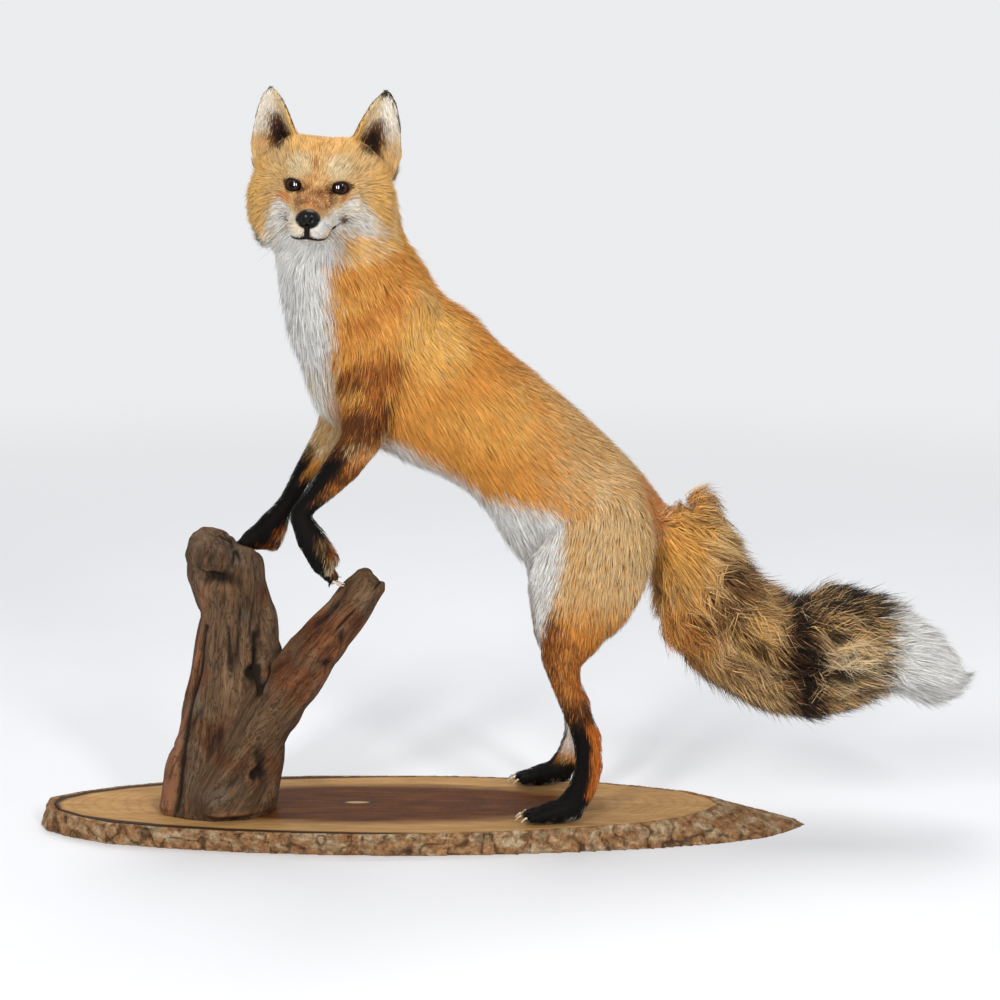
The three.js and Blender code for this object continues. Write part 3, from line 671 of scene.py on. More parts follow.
def mark_trunk(lay, body, normals, kinds, patchy, fine):
    x, y, z = body.T
    _, _, nz = normals.T
    trunk = np.isin(kinds, ("neck", "chest", "loin", "rump", "upper_arm", "thigh"))
    back = ramp(nz, 0.55, 0.9)
    shoulder = patch(body, (-45, 0, 560), (70, 120, 105))
    lay("gold", trunk * 0.35 * ramp(x, 30, -10) * ramp(z, 470, 500))
    lay("rust", trunk * np.clip(0.25 * shoulder + 0.6 * ramp(patchy, 0.0, 0.6) * shoulder, 0, 0.9))
    # a paler gold patch on the top of the shoulder: partly golden fur, partly a painted highlight on its
    # rounded top
    bright = patch(body, (22, 0, 562), (46, 90, 60)) * ramp(np.abs(y), 10, 40)
    lay("gold", trunk * bright)
    lay("cream", 0.25 * trunk * bright * ramp(fine, -0.3, 0.5))
    lay("gold", trunk * 0.5 * patch(body, (-60, 0, 600), (36, 90, 24)) * ramp(patchy, 0.3, -0.4))
    lay("rust", trunk * 0.45 * back * ramp(x, 40, 110) * ramp(x, 210, 150))
    lay("rust", trunk * 0.55 * back * ramp(x, 20, -30))
    lay("brown", trunk * 0.32 * back * ramp(x, 10, 60) * ramp(x, 215, 180) * ramp(fine, -0.7, 0.4))
    lay("gold", trunk * 0.55 * patch(body, (95, 0, 470), (80, 90, 46)) * ramp(patchy, -0.4, 0.6))
    along = x + 0.35 * np.minimum(z - 400, 110)
    rear = ramp(along, 95, 215) * np.isin(kinds, ("chest", "loin", "rump", "thigh"))
    lay("tan", 0.70 * rear * ramp(along, 115, 200))
    lay("cream", 0.60 * rear * ramp(z, 440, 400) * ramp(z, 250, 300) * ramp(fine, -0.5, 0.6))
    lay("grizzle", 0.50 * rear * ramp(fine + 0.6 * patchy, -0.4, 0.6))
    lay("ginger", 0.6 * rear * patch(body, (262, 0, 385), (22, 60, 70)))
    lay("flank", 0.5 * rear * ramp(z, 300, 250))
    # a thin brown line behind the elbow on the near side is painted shadow, where the upper arm meets the
    # chest
    elbow_shadow = np.abs(x + 20 - 0.1 * (z - 500))
    elbow_shadow = ramp(elbow_shadow, 9, 3) * ramp(z, 440, 470) * ramp(z, 560, 530)
    lay("brown", 0.45 * (kinds == "chest") * elbow_shadow * (y < 0))
    # the bib faces forwards at the chest and turns with the head towards the animal's left higher up
    edge = -86 + 5 * patchy + 58 * ramp(z, 700, 724) * ramp(y, 10, -10)
    edge -= 44 * ramp(y, -12, 34) * ramp(z, 520, 650)
    bib = ramp(x, edge + 9, edge - 9) * ramp(z, 436, 452)
    bib *= np.isin(kinds, ("neck", "chest", "upper_arm"))
    lay("white", bib)
    lay("cream", 0.5 * bib * ramp(z, 640, 668) * ramp(fine, -0.5, 0.5))
    lay("cream", 0.9 * ramp(np.abs(y), 34, 20) * ramp(x, -60, -80) * ramp(z, 470, 450) * (kinds == "chest"))
    line = belly_line(x) + 5 * patchy
    belly = ramp(z, line + 8, line - 12) * ramp(x, -40, 0) * ramp(x, 172, 160)
    lay("white", belly * np.isin(kinds, ("chest", "loin", "rump")))
    under = ramp(nz, -0.5, -0.9) * ramp(x, -60, -20) * ramp(x, 215, 180)
    lay("white", under * np.isin(kinds, ("chest", "loin", "rump")))
    lay("cream", 0.3 * belly * ramp(x, 50, 100) * ramp(fine, -0.6, 0.5))
    lay("cream", 0.6 * bib * ramp(z, 540, 500) * ramp(fine + patchy, -0.6, 0.5))


def belly_line(x):
    """Height of the line between the flank's colour and the pale belly."""
    return np.interp(x, (-40, -15, 37, 90, 127, 164), (440, 418, 392, 380, 374, 361))


def mark_tail(lay, body, normals, kinds, patchy, fine):
    x, _, z = body.T
    _, _, nz = normals.T
    tail = np.char.startswith(kinds, "tail").astype(float)
    under = ramp(nz, 0.1, -0.7)
    over = ramp(nz, 0.2, 0.7)
    lay("gold", 0.6 * tail * patch(body, (298, 0, 318), (50, 70, 60)))
    lay("tan", 0.85 * tail * ramp(x, 306, 340))
    lay("tan", 0.6 * tail * patch(body, (300, 0, 262), (50, 80, 40)) * ramp(fine, -0.5, 0.4))
    lay("gold", 0.4 * tail * patch(body, (372, 0, 232), (30, 80, 34)))
    lay("tan", 0.50 * tail * patch(body, (352, 0, 240), (26, 80, 22)) * ramp(fine, -0.6, 0.4))
    lay("smoke", 0.40 * tail * ramp(patchy + 0.6 * fine, -0.2, 0.6) * ramp(x, 262, 300))
    lay("smoke", 0.5 * tail * ramp(x, 398, 412) * ramp(x, 432, 420))
    # brown locks laid along the folds between the tail's lumps and along its lower edge are painted shade
    # there
    fold = np.abs(z - 240 - 0.80 * (x - 322))
    lay("brown", 0.90 * tail * ramp(fold, 20, 8) * ramp(x, 300, 318) * ramp(x, 382, 366)
        * ramp(fine, -1.0, -0.2))
    lay("brown", 0.80 * tail * patch(body, (352, 0, 292), (18, 70, 22)))
    lay("brown", 0.60 * tail * patch(body, (350, 0, 196), (13, 80, 20)))
    lay("rust", 0.5 * tail * patch(body, (288, 0, 232), (30, 80, 26)) * ramp(fine, -0.4, 0.4))
    lay("smoke", 0.80 * tail * under * ramp(x, 256, 300) * ramp(x, 430, 416))
    lay("black", 0.55 * tail * ramp(nz, -0.1, -0.6) * ramp(x, 335, 366) * ramp(fine, -0.6, 0.3))
    lay("smoke", 0.5 * tail * over * ramp(x, 300, 340) * ramp(x, 430, 416))
    lay("cream", 0.75 * tail * patch(body, (474, 0, 200), (48, 80, 36)))
    lay("smoke", 0.35 * tail * ramp(x, 444, 456) * ramp(x, 530, 505) * ramp(fine + patchy, -0.1, 0.7))
    lay("cream", 0.6 * tail * patch(body, (474, 0, 200), (36, 80, 26)) * ramp(fine, -1.0, 0.0))
    ring = 425 + 0.09 * (249 - z) + 4 * patchy
    lay("brown", 0.9 * tail * ramp(np.abs(x - ring), 30, 16) * ramp(fine, -0.9, 0.2))
    lay("black", 0.92 * tail * ramp(np.abs(x - ring), 18, 10))
    lay("black", 0.95 * tail * over * ramp(x, 440, 458) * ramp(x, 550, 526))
    lay("black", 0.85 * tail * under * patch(body, (486, 0, 150), (40, 70, 44)))
    tip = 520 + 0.16 * (z - 190) + 6 * patchy
    lay("white", tail * ramp(x, tip - 8, tip + 10))


def mark_forelegs(lay, body, normals, kinds, patchy, fine):
    x, y, z = body.T
    nx, _, nz = normals.T
    arm, fore, paw = (kinds == k for k in ("upper_arm", "forearm", "forepaw"))
    leg = fore | paw
    near = y < 0
    front = ramp(nx * 0.8 - nz * 0.1, 0.15, -0.3)
    lay("rust", 0.9 * (arm & (z < 545)) * ramp(z, 560, 500))
    lay("brown", 0.85 * arm * ramp(z, 560, 505) * ramp(fine, -1.1, 0.2))
    lay("gold", 0.55 * arm * patch(body, (-62, -60, 492), (22, 60, 16)))
    lay("brown", 0.6 * arm * patch(body, (-64, -60, 520), (14, 60, 18)) * ramp(fine, -0.6, 0.4))
    band = np.abs(z - 482 - 0.62 * (x + 24))
    lay("rust", 0.8 * (arm | fore) * near * ramp(band, 46, 26))
    lay("brown", 0.9 * (arm | fore) * near * ramp(band, 36, 16) * ramp(patchy + fine, -1.6, -0.2))
    lay("rust", 0.8 * fore * near * ramp(z, 440, 420))
    lay("brown", 0.75 * fore * near * ramp(z, 430, 410) * ramp(fine + patchy, -1.2, 0.2))
    lay("tan", 0.40 * fore * near * patch(body, (-58, -56, 436), (20, 40, 12)) * ramp(fine, -0.7, 0.3))
    lay("tan", 0.8 * (arm | fore) * near * patch(body, (-22, -56, 440), (13, 60, 26)) * ramp(nx, 0.3, 0.7))
    lay("grizzle", 0.75 * fore * ~near * ramp(z, 404, 424))
    lay("cream", 0.7 * fore * ~near * ramp(z, 404, 420) * ramp(fine, -0.5, 0.3))
    lay("brown", 0.5 * (arm | fore) * ~near * ramp(z, 440, 462) * ramp(fine + patchy, -0.5, 0.4))
    lay("black", leg * near * np.maximum(front * ramp(z, 452, 424), ramp(z, 396, 372)))
    lay("black", leg * ~near * np.maximum(front * ramp(z, 446, 404), ramp(z, 408, 382)))
    fringe = ramp(nx + 0.25 * near, 0.55, 0.9) * ramp(z, 346, 332)
    lay("brown", 0.75 * leg * fringe)
    lay("tan", 0.40 * leg * fringe * ramp(fine, -0.3, 0.3))
    lay("ginger", 0.5 * paw * near * patch(body, (-86, -48, 326), (10, 30, 14)) * ramp(fine, -0.4, 0.3))
    lay("cream", 0.9 * paw * near * patch(body, (-89, -48, 308), (8, 30, 9)) * ramp(fine, -0.5, 0.1))
    lay("ginger", 0.7 * paw * ~near * ramp(nz - 0.4 * nx, -0.1, -0.6) * ramp(fine, -0.8, 0.2))
    lay("cream", 0.7 * paw * ~near * patch(body, (-146, 40, 322), (10, 30, 9)) * ramp(fine, -0.3, 0.3))


def mark_hindlegs(lay, body, normals, kinds, patchy, fine):
    x, y, z = body.T
    nx, ny, nz = normals.T
    thigh, shank, heel, paw = (kinds == k for k in ("thigh", "shank", "metatarsus", "hindpaw"))
    far_shift = np.where(y > 0, -8 * ramp(z, 390, 330), 0)
    inner = ramp(ny * np.sign(y), -0.25, -0.7)
    lay("flank", 0.6 * shank)
    lay("brown", 0.78 * shank * ramp(fine, -1.0, 0.4))
    lay("smoke", 0.12 * shank)
    lay("brown", 0.25 * thigh * ramp(z, 285, 250) * ramp(fine, -0.6, 0.5))
    lay("tan", 0.6 * thigh * ramp(z, 245, 290))
    lay("cream", 0.12 * thigh * ramp(z, 245, 290))
    lay("ginger", 0.4 * shank * ramp(nx, 0, 0.6))
    lay("brown", 0.8 * (thigh | shank) * patch(body, (150, 0, 222), (20, 120, 62)) * ramp(fine, -0.9, 0.1))
    lay("rust", 0.35 * (thigh | shank) * ramp(z, 262, 236))
    edge = 164 - 0.20 * (372 - z) + far_shift + 3 * patchy
    edge = edge + 4 * ramp(z, 240, 300)
    strip = ramp(x, edge + 7, edge - 5) * ramp(z, 178, 205) * ramp(z, belly_line(x) + 6, belly_line(x) - 10)
    lay("white", strip * (thigh | shank | (kinds == "rump") | (kinds == "loin")))
    lay("cream", 0.15 * strip * (thigh | shank) * ramp(fine, -0.5, 0.6))
    lay("white", 0.9 * (thigh | shank) * inner * ramp(z, 90, 120))
    lay("brown", 0.9 * shank * ramp(z, 176, 150) * (1 - inner))
    lay("black", (heel | paw | shank) * ramp(z, 160, 128) * (1 - 0.85 * inner * ramp(z, 48, 66)))
    lay("white", 0.75 * heel * inner * ramp(z, 52, 80) * ramp(z, 150, 130))
    rear = ramp(nx, 0.1, 0.55) * ramp(z, 46, 66) * ramp(z, 146, 128)
    lay("ginger", 0.95 * (heel | shank) * rear * (1 - 0.5 * inner))
    lay("white", 0.45 * paw * ramp(nz, -0.2, -0.7) * ramp(fine, 0, 0.5))


def mark_head(lay, local, normals, kinds, patchy, fine):
    ahead, side, up = local[:, 0], np.abs(local[:, 1]), local[:, 2]
    face = np.isin(kinds, ("head", "muzzle")).astype(float)
    own_left = local[:, 1] > 0
    both = one_side(local)
    lay("tan", face)
    lay("gold", 0.6 * face * ramp(side, 46, 66))
    lay("gold", 0.6 * face * ramp(up, 30, 44))
    lay("flank", 0.50 * face * ramp(side, 22, 8) * ramp(ahead, -40, 10) * ramp(fine, -0.7, 0.5))
    lay("cream", 0.85 * face * patch(both, (38, 21, 20), (28, 14, 14)))
    lay("brown", 0.30 * face * ramp(side, 16, 6) * ramp(up, -2, 12) * ramp(fine, -0.2, 0.4))
    lay("rust", 0.30 * face * ramp(side, 11, 5) * ramp(ahead, 44, 58) * ramp(fine, -0.8, 0.4))
    lay("rust", 0.45 * face * patch(both, (74, 9, -11), (34, 13, 14)))
    lay("brown", 0.66 * face * patch(both, (72, 10, -10), (36, 13, 13)) * ramp(fine, -1.0, 0.4))
    lay("smoke", 0.22 * face * ramp(up, 8, 20) * ramp(fine - 0.4 * patchy, 0.2, 0.6))
    lay("rust", 0.70 * face * patch(both, (48, 34, -14), (16, 13, 7)))
    lay("smoke", 0.50 * face * patch(both, (98, 13, -24), (16, 8, 7)))
    # white below a line that rises from the muzzle to the cheek and falls steeply towards the ruff
    steep = np.where(own_left, 1.35, 3.2)
    line = -15 - 0.10 * ahead + 10 * ramp(side, 18, 40) - steep * np.maximum(side - 44, 0) + 2.5 * patchy
    line -= np.where(own_left, 0, 6) * ramp(side, 16, 30)
    white = ramp(up, line + 3.5, line - 5) * ramp(ahead, -34, -12)
    lay("white", face * white)
    lay("cream", 0.55 * face * white * ramp(fine + 0.5 * patchy, -0.6, 0.6))
    lay("white", face * ramp(up, -48, -56) * ramp(ahead, -34, -14) * ramp(side, 48, 36))
    lay("gold", 0.8 * face * own_left * ramp(side, 20, 38) * ramp(up, -44, -54))
    lay("brown", np.where(own_left, 0.8, 0.4) * face * patch(both, (62, 35, -33), (16, 10, 7))
        * ramp(fine, -0.8, 0.0))
    # painted shadow under the lower lip
    lay("smoke", 0.40 * face * patch(both, (100, 8, -59), (16, 18, 6)))
    lay("black", 0.16 * face * white * ramp(fine, 0.25, 0.8) * ramp(up, -40, -54))
    rims = patch(both, (55, 14, -5), (9, 6, 4)) + patch(both, (44, 34.5, 2.5), (8, 5, 3.4))
    for eye in EYES:
        rims = rims + ramp(eye_measure(from_head(local), eye)[1], 1.55, 1.2)
    lay("brown", 0.9 * face * np.clip(rims, 0, 1))
    lay("brown", 0.85 * face * ramp(mouth_distance(local), 6.0, 2.0))
    # dark hair under the chin, partly painted shade there
    lay("smoke", 0.35 * face * patch(both, (84, 16, -56), (26, 22, 12)) * ramp(fine, -0.4, 0.5))
    mark_ears(lay, local, normals, (kinds == "ear").astype(float), fine)


def ear_measure(local):
    """How high up an ear a point is, 0 to 1, and how far across it: -1 at the inner edge, 1 at the outer."""
    sign = np.where(local[:, 1] > 0, 1.0, -1.0)
    mirrored = local * np.stack([np.ones(len(local)), sign, np.ones(len(local))], axis=1)
    height = (mirrored[:, 2] - EAR_BASE[2]) / (EAR_TIP[2] - EAR_BASE[2])
    line = np.array(EAR_BASE) + height[:, None] * (np.array(EAR_TIP) - EAR_BASE)
    across = (mirrored - line) @ (-math.sin(EAR_TURN), math.cos(EAR_TURN), 0)
    half = EAR_HALF * np.clip(1 - np.clip(height, 0, 1) ** 2, 0.02, 1) ** 0.62
    return height, across / half


def shaded_ear_hollow(height, across):
    """How far out of an ear's hollow, where shade is painted, a place is: 1 on its edge."""
    aside = across + 0.06 - 0.3 * (height - 0.2)
    return np.sqrt(((height - 0.16) / 0.46) ** 2 + (aside / 0.62) ** 2)


def mark_ears(lay, local, normals, ear, fine):
    """Black behind above an orange base; in front painted shade in the hollow between pale hair, and a black
    rim.
    """
    height, across = ear_measure(local)
    inside = ear_inside(local, normals)
    lay("flank", ear)
    lay("black", 0.95 * ear * (1 - inside) * ramp(height, 0.28, 0.55))
    lay("cream", ear * inside)
    lay("white", 0.6 * ear * inside * ramp(across, -0.2, 0.3))
    lay("gold", 0.85 * ear * inside * ramp(across, -0.42, -0.72) * ramp(height, 0.85, 0.5))
    lay("gold", 0.80 * ear * inside * ramp(height + 0.15 * fine, 0.32, 0.04) * ramp(across, -0.1, 0.3))
    lay("tan", 0.80 * ear * ramp(height, 0.46, 0.16) * ramp(fine, -1.2, 0.2))
    hollow = shaded_ear_hollow(height, across) + 0.12 * fine
    # painted shade: brown and black in the ear's hollow, and on the head in front of the ear's foot
    deep = np.maximum(ear * inside, (1 - ear) * ramp(local[:, 0], -4, 6) * ramp(height, 0.02, 0.14))
    lay("brown", 0.55 * deep * ramp(hollow, 1.3, 0.8))
    lay("brown", 0.90 * deep * ramp(hollow, 1.0, 0.7))
    lay("black", 0.85 * deep * ramp(hollow, 0.80, 0.4))
    rim = np.maximum(ramp(np.abs(across), 0.84, 0.94), ramp(height, 0.93, 0.97))
    lay("black", 0.95 * ear * rim * ramp(height, 0.34, 0.46))


def ear_inside(local, normals):
    """1 on the hollow front of an ear, 0 on its back."""
    facing = normals @ HEAD_AXES.T
    outwards = np.sign(local[:, 1])
    return ramp(facing[:, 0] * math.cos(EAR_TURN) + facing[:, 1] * outwards * math.sin(EAR_TURN), -0.1, 0.3)


# ================================================================ lie of the coat
def hair_directions(surface, owner):
    """The way the hair lies at each point of the skin, along the skin."""
    along = {}
    for chain in CHAINS:
        centres = [middle(n) for n in chain]
        for k, name in enumerate(chain):
            along[name] = unit(centres[min(k + 1, len(chain) - 1)] - centres[max(k - 1, 0)])
    along["tail_tip"] = unit(middle("tail_tip") - middle("tail_end"))
    for name in FLESH:
        if name not in along:
            along[name] = along["head"]
    lie = np.array([along[n] for n in FLESH])[owner]
    lie = surface.spread(lie, 20) + (0, 0, -0.12)
    on_head = head_share(surface, owner)[:, None]
    local = in_head(surface.points)
    side = np.clip(local[:, 1] / 40, -1, 1)
    cheek = ramp(np.abs(local[:, 1]), 24, 54) * ramp(local[:, 2], 40, -22)
    low = ramp(local[:, 2], -14, -48)
    outwards = side * (0.30 + 0.75 * cheek)
    face = np.stack([-1 + 0.35 * cheek, outwards, 0.25 - 0.85 * cheek - 0.5 * low], axis=1)
    ears = KINDS[owner] == "ear"
    height, across = ear_measure(local)
    by_ear = ramp(height, -0.45, -0.1) * ramp(np.abs(across), 1.5, 1.0) * ramp(local[:, 0], -12, 6)
    face += by_ear[:, None] * ((0.4, 0, 1.6) + side[:, None] * (0, 0.6, 0))
    face[ears] = (0.05, 0, 1)
    face[ears, 1] = (np.sign(local[:, 1]) * np.clip(-0.55 * across, -0.25, 0.5))[ears]
    lie = (1 - on_head) * lie + on_head * (unit(face) @ HEAD_AXES)
    normals = surface.normals()
    lie += patch(surface.points / MM, TAIL_CREST, (34, 60, 30))[:, None] * (0.9, 0, 1.6)
    for _ in range(6):
        lie = unit(lie - normals * (lie * normals).sum(axis=1, keepdims=True))
        lie = surface.spread(lie, 1, 0.7)
    return unit(lie)


# ================================================================ coat
STIFF = 0.45  # share of a tuft's own straight way against the skin's curve
TAIL_CREST = (282, 0, 378)  # the tuft of hair that stands up where the tail leaves the rump
WILD = 0.6  # how much further than the rest the tail's wildest hairs stand out
BEND = 0.42  # where a tuft is widest and bends, from root to tip
MARK_AT = 0.6  # a tuft takes the marking of the place this far along it
EDGE_MIX = 0.16  # and this much of its length beside it, so that both colours mix along an edge
PATCH = 0.003  # size of a tuft in the coat's OFBake map
LENGTH_RANGE, WIDTH_RANGE, RISE_RANGE = (0.72, 1.22), (0.7, 1.2), (0.6, 1.12)  # against the table's
LOCK_SWAY = ((0.14, 0.020, 11), (0.12, 0.008, 12))  # locks turn aside: how far, their size, seed
HAIR_SWAY = 0.10  # and each tuft by itself
ROOT_DEPTH = 0.35  # share of a tuft's rise that the coat's depth at its root gives; its tip gives the rest
MID_RISE = 0.60  # share of the rise at the widest place
LEADERS = 0.07  # share of the tufts that others lean towards
PULL_RANGE = (0.4, 1.2)  # how strongly they lean, times the table's clumping
LOCK_OPEN = 0.25  # how far apart the tips of a lock stay, against their roots
LEAN_LIMIT = 0.45  # a tip moves no further than this share of its tuft's length
MID_LEAN = 0.35  # share of that move at the widest place
GUARD, GUARD_RISE = 0.04, 1.25  # share of the tufts that stand out further, and by how much
ROLL = 0.45  # how far tufts turn about their length, in radians
KEEL = 0.7  # height of a tuft's ridge, against half its width
OWN_TONE = 0.58  # share of its own kind of hair in a tuft's colour; the rest is the mixture at its place
TONE_SPREAD = 0.14
LOCK_TONES = ((0.07, 0.013, 31), (0.05, 0.035, 32))  # light and dark patches: how much, size, seed
SKIN_ROOT = 0.35  # share of the hair's root colour in the skin's; the rest is from half way up
# a tuft is a point under the skin, three corners round its widest place, and a point at its tip
TUFT_FACES = ((0, 2, 1), (0, 1, 3), (0, 3, 2), (1, 2, 4), (1, 4, 3), (2, 3, 4))
TUFT_ACROSS = (0.5, 0.0, 1.0, 0.5, 0.5)
TUFT_ALONG = (0.0, BEND, BEND, BEND, 1.0)


class Roots:
    """Places on the skin where tufts grow, with the skin's values there."""

    def __init__(self, skin, chosen, counts, rng):
        """chosen are triangles, and counts the mean number of tufts on each."""
        number = rng.poisson(counts)
        faces = np.repeat(chosen, number)
        a, b = rng.random((2, len(faces)))
        turn = a + b > 1
        a[turn], b[turn] = 1 - a[turn], 1 - b[turn]
        self.weights = np.stack([1 - a - b, a, b], axis=1)
        self.corners = skin.triangles[faces]
        self.count = len(faces)

    def take(self, values):
        weights = self.weights if values.ndim == 1 else self.weights[:, :, None]
        return (values[self.corners] * weights).sum(axis=1)


def bare_skin(surface):
    """1 where no hair grows: inside the lids, on the lips and under the nose."""
    bare = np.zeros(len(surface.points))
    for side in EYES:
        local, edge = eye_measure(surface.points, side)
        bare = np.maximum(bare, ramp(edge, 1.38, 1.16) * (local[:, 0] > 0) * (edge < 3))
    local = in_head(surface.points)
    snout = local[:, 0] > SNOUT_FROM
    distance, nearest = distance_to_line(local[snout], mouth_lines())
    wide = np.interp(nearest[:, 0], (60, 100, 110), (2.2, 2.7, 3.2))
    bare[snout] = np.maximum(bare[snout], ramp(distance, wide + 0.5, wide - 0.5))
    nose = np.linalg.norm((local - in_head(middle("nose"))) / (11.5, 13, 11), axis=1)
    return np.maximum(bare, ramp(nose, 1.08, 0.96))


def outer_gap(surface, normals, outer, nominal):
    """Millimetres from the skin out to the coat's outer shape, or the nominal depth where none is met."""
    gap = nominal.copy()
    for k, (point, way) in enumerate(zip(surface.points.tolist(), normals.tolist())):
        if nominal[k] > 2:
            far = outer.ray_cast(point, way, 0.003 * nominal[k])[3]
            if far is not None:
                gap[k] = far / MM
    return surface.spread(np.clip(gap, 0.6 * nominal, 1.9 * nominal), 6)


def coat_fields(surface, owner, normals, outer):
    """The coat's measures at each point of the skin: length, depth, width, tufts a square metre, clumping."""
    rows = np.array([COAT[kind] for kind in KINDS])
    fields = surface.spread(rows[owner], 16)
    local = in_head(surface.points)
    on_head = head_share(surface, owner)
    side, up, ahead = np.abs(local[:, 1]), local[:, 2], local[:, 0]
    cheek = ramp(side, 30, 54) * ramp(ahead, 50, 24) * ramp(up, 26, -2)
    throat = ramp(up, -32, -52) * ramp(ahead, 78, 50)
    round_eye = np.ones(len(local))
    for eye in EYES:
        _, edge = eye_measure(surface.points, eye)
        round_eye = np.minimum(round_eye, 0.38 + 0.62 * ramp(edge, 1.2, 3.6))
    by_mouth = 0.4 + 0.6 * ramp(mouth_distance(local), 2, 9)
    small = np.minimum(round_eye, by_mouth)
    fields[:, LENGTH] += on_head * (11 * np.maximum(cheek, throat) + 3 * ramp(ahead, 24, -10))
    fields[:, LENGTH] *= small
    height, across = ear_measure(local)
    ear_foot = on_head * ramp(np.abs(height - 0.02), 0.34, 0.10) * ramp(np.abs(across), 1.5, 1.1)
    ear_foot *= ramp(np.abs(ahead - 10), 26, 14)
    ear_foot *= ramp(shaded_ear_hollow(height, across), 0.8, 1.15)
    fields[:, LENGTH] += 7 * ear_foot
    nominal = coat_depth(surface, owner)
    fields[:, DEPTH] = outer_gap(surface, normals, outer, nominal) * (0.5 + 0.5 * small)
    fields[:, WIDTH] *= 0.7 + 0.3 * small
    fields[:, COUNT] *= 1 + 0.5 * (1 - small)
    fields[:, DEPTH] += 4 * ear_foot
    at_tip = fields_of_tip(surface, owner, normals)
    fields[:, COUNT] *= ramp(at_tip, 0.6, 0.3)
    fields[:, DEPTH] *= 1 - 0.6 * at_tip
    body = surface.points / MM
    fringe = patch(body, (-14, 0, 478), (26, 90, 44)) + patch(body, (190, 0, 90), (14, 100, 44))
    wrists = patch(body, (-95, -48, 340), (20, 24, 36)) + patch(body, (-150, 40, 335), (24, 24, 24))
    fields[:, LENGTH] += 9 * np.clip(fringe, 0, 1) + 7 * np.clip(wrists, 0, 1)
    fields[:, DEPTH] += 3 * np.clip(fringe, 0, 1) + 3 * np.clip(wrists, 0, 1)
    fields[:, COUNT] *= 1e4 * (1 - bare_skin(surface))
    return fields


def fields_of_tip(surface, owner, normals):
    """1 where the end of the tail faces straight back, under the hair that grows past it from all round."""
    backwards = unit(middle("tail_tip") - middle("tail_end"))
    at_tip = np.array([n == "tail_tip" for n in FLESH])[owner]
    return surface.spread(at_tip * np.clip(normals @ backwards, 0, 1) ** 1.5, 4)


def snap(points, tree, surface, normals):
    """The nearest places on the skin, the directions out there, and the corners of its faces."""
    found = [tree.find_nearest(p) for p in points.tolist()]
    places = np.array([f[0] for f in found])
    corners = surface.triangles[[f[2] for f in found]]
    return places, unit(normals[corners].mean(axis=1)), corners


def tuft_paths(roots, skin, rng):
    """Foot, widest place and tip of each tuft, the skin's directions out, its width, and its root."""
    start = roots.take(skin["points"])
    out = unit(roots.take(skin["normals"]))
    lie = roots.take(skin["lie"])
    fields = roots.take(skin["fields"])
    count = roots.count
    length = fields[:, LENGTH] * MM * rng.uniform(*LENGTH_RANGE, count)
    across = unit(np.cross(out, lie))
    sway = sum(far * value_noise(start, cell, seed) for far, cell, seed in LOCK_SWAY)
    sway += rng.normal(0, HAIR_SWAY, count)
    lie = unit(lie + across * sway[:, None])
    straight = start + lie * BEND * length[:, None]
    place, out_mid, corners = snap(straight, skin["tree"], skin["surface"], skin["normals"])
    free = roots.take(skin["free"][:, None])
    stiff = STIFF + (1 - STIFF) * free
    out_mid = unit((1 - free) * out_mid + free * out)
    mid = place + stiff * (straight - place)
    lie_mid = unit(lie + skin["lie"][corners].mean(axis=1))
    lie_mid = unit(lie_mid - out_mid * (lie_mid * out_mid).sum(axis=1, keepdims=True) * (1 - stiff))
    straight = mid + lie_mid * (1 - BEND) * length[:, None]
    place, out_tip, corners = snap(straight, skin["tree"], skin["surface"], skin["normals"])
    out_tip = unit((1 - free) * out_tip + free * out)
    tip = place + stiff * (straight - place)
    tip_depth = skin["fields"][corners, DEPTH].mean(axis=1)
    rise = ROOT_DEPTH * fields[:, DEPTH] + (1 - ROOT_DEPTH) * tip_depth
    rise *= MM * rng.uniform(*RISE_RANGE, count)
    rise *= np.where(rng.random(count) < GUARD, GUARD_RISE, 1.0)
    rise *= 1 + WILD * roots.take(skin["tail"][:, None])[:, 0] * rng.random(count) ** 2
    mid = mid + out_mid * (MID_RISE * rise)[:, None]
    tip = tip + out_tip * rise[:, None]
    tip, mid = clumped(start, mid, tip, fields[:, CLUMP], rng)
    width = fields[:, WIDTH] * MM * rng.uniform(*WIDTH_RANGE, count)
    return start - out * MM, mid, tip, out, out_mid, out_tip, width, start


def clumped(start, mid, tip, strength, rng):
    """Tips drawn towards the tip of a nearby leading tuft, so that the hair falls into locks."""
    leaders = np.flatnonzero(rng.random(len(start)) < LEADERS)
    if len(leaders) < 2:
        return tip, mid
    tree = kdtree.KDTree(len(leaders))
    for k, at in enumerate(start[leaders].tolist()):
        tree.insert(at, k)
    tree.balance()
    nearest = leaders[[tree.find(p)[1] for p in start.tolist()]]
    pull = (strength * rng.uniform(*PULL_RANGE, len(start)))[:, None]
    wanted = tip[nearest] + LOCK_OPEN * (start - start[nearest])
    shift = (wanted - tip) * pull
    limit = LEAN_LIMIT * np.linalg.norm(tip - start, axis=1, keepdims=True)
    size = np.linalg.norm(shift, axis=1, keepdims=True)
    shift *= np.minimum(1, limit / np.maximum(size, 1e-9))
    return tip + shift, mid + MID_LEAN * shift


def tuft_arrays(paths, rng):
    """The five corners of each tuft, and the direction that each corner is shaded in."""
    start, mid, tip, out, out_mid, out_tip, width, _ = paths
    roll = rng.normal(0, ROLL, len(start))[:, None]
    way = unit(tip - start)
    side = unit(np.cross(out_mid, way))
    lift = np.cross(way, side)
    side, lift = np.cos(roll) * side + np.sin(roll) * lift, np.cos(roll) * lift - np.sin(roll) * side
    half = width[:, None] / 2
    ridge = mid + KEEL * half * lift
    points = np.stack([start, mid - half * side, mid + half * side, ridge, tip], axis=1)
    up = 0.8 * out_mid + 0.25 * lift
    shades = np.stack([out, up - 0.4 * side, up + 0.4 * side, up, out_tip + 0.2 * way], axis=1)
    return points, unit(shades)


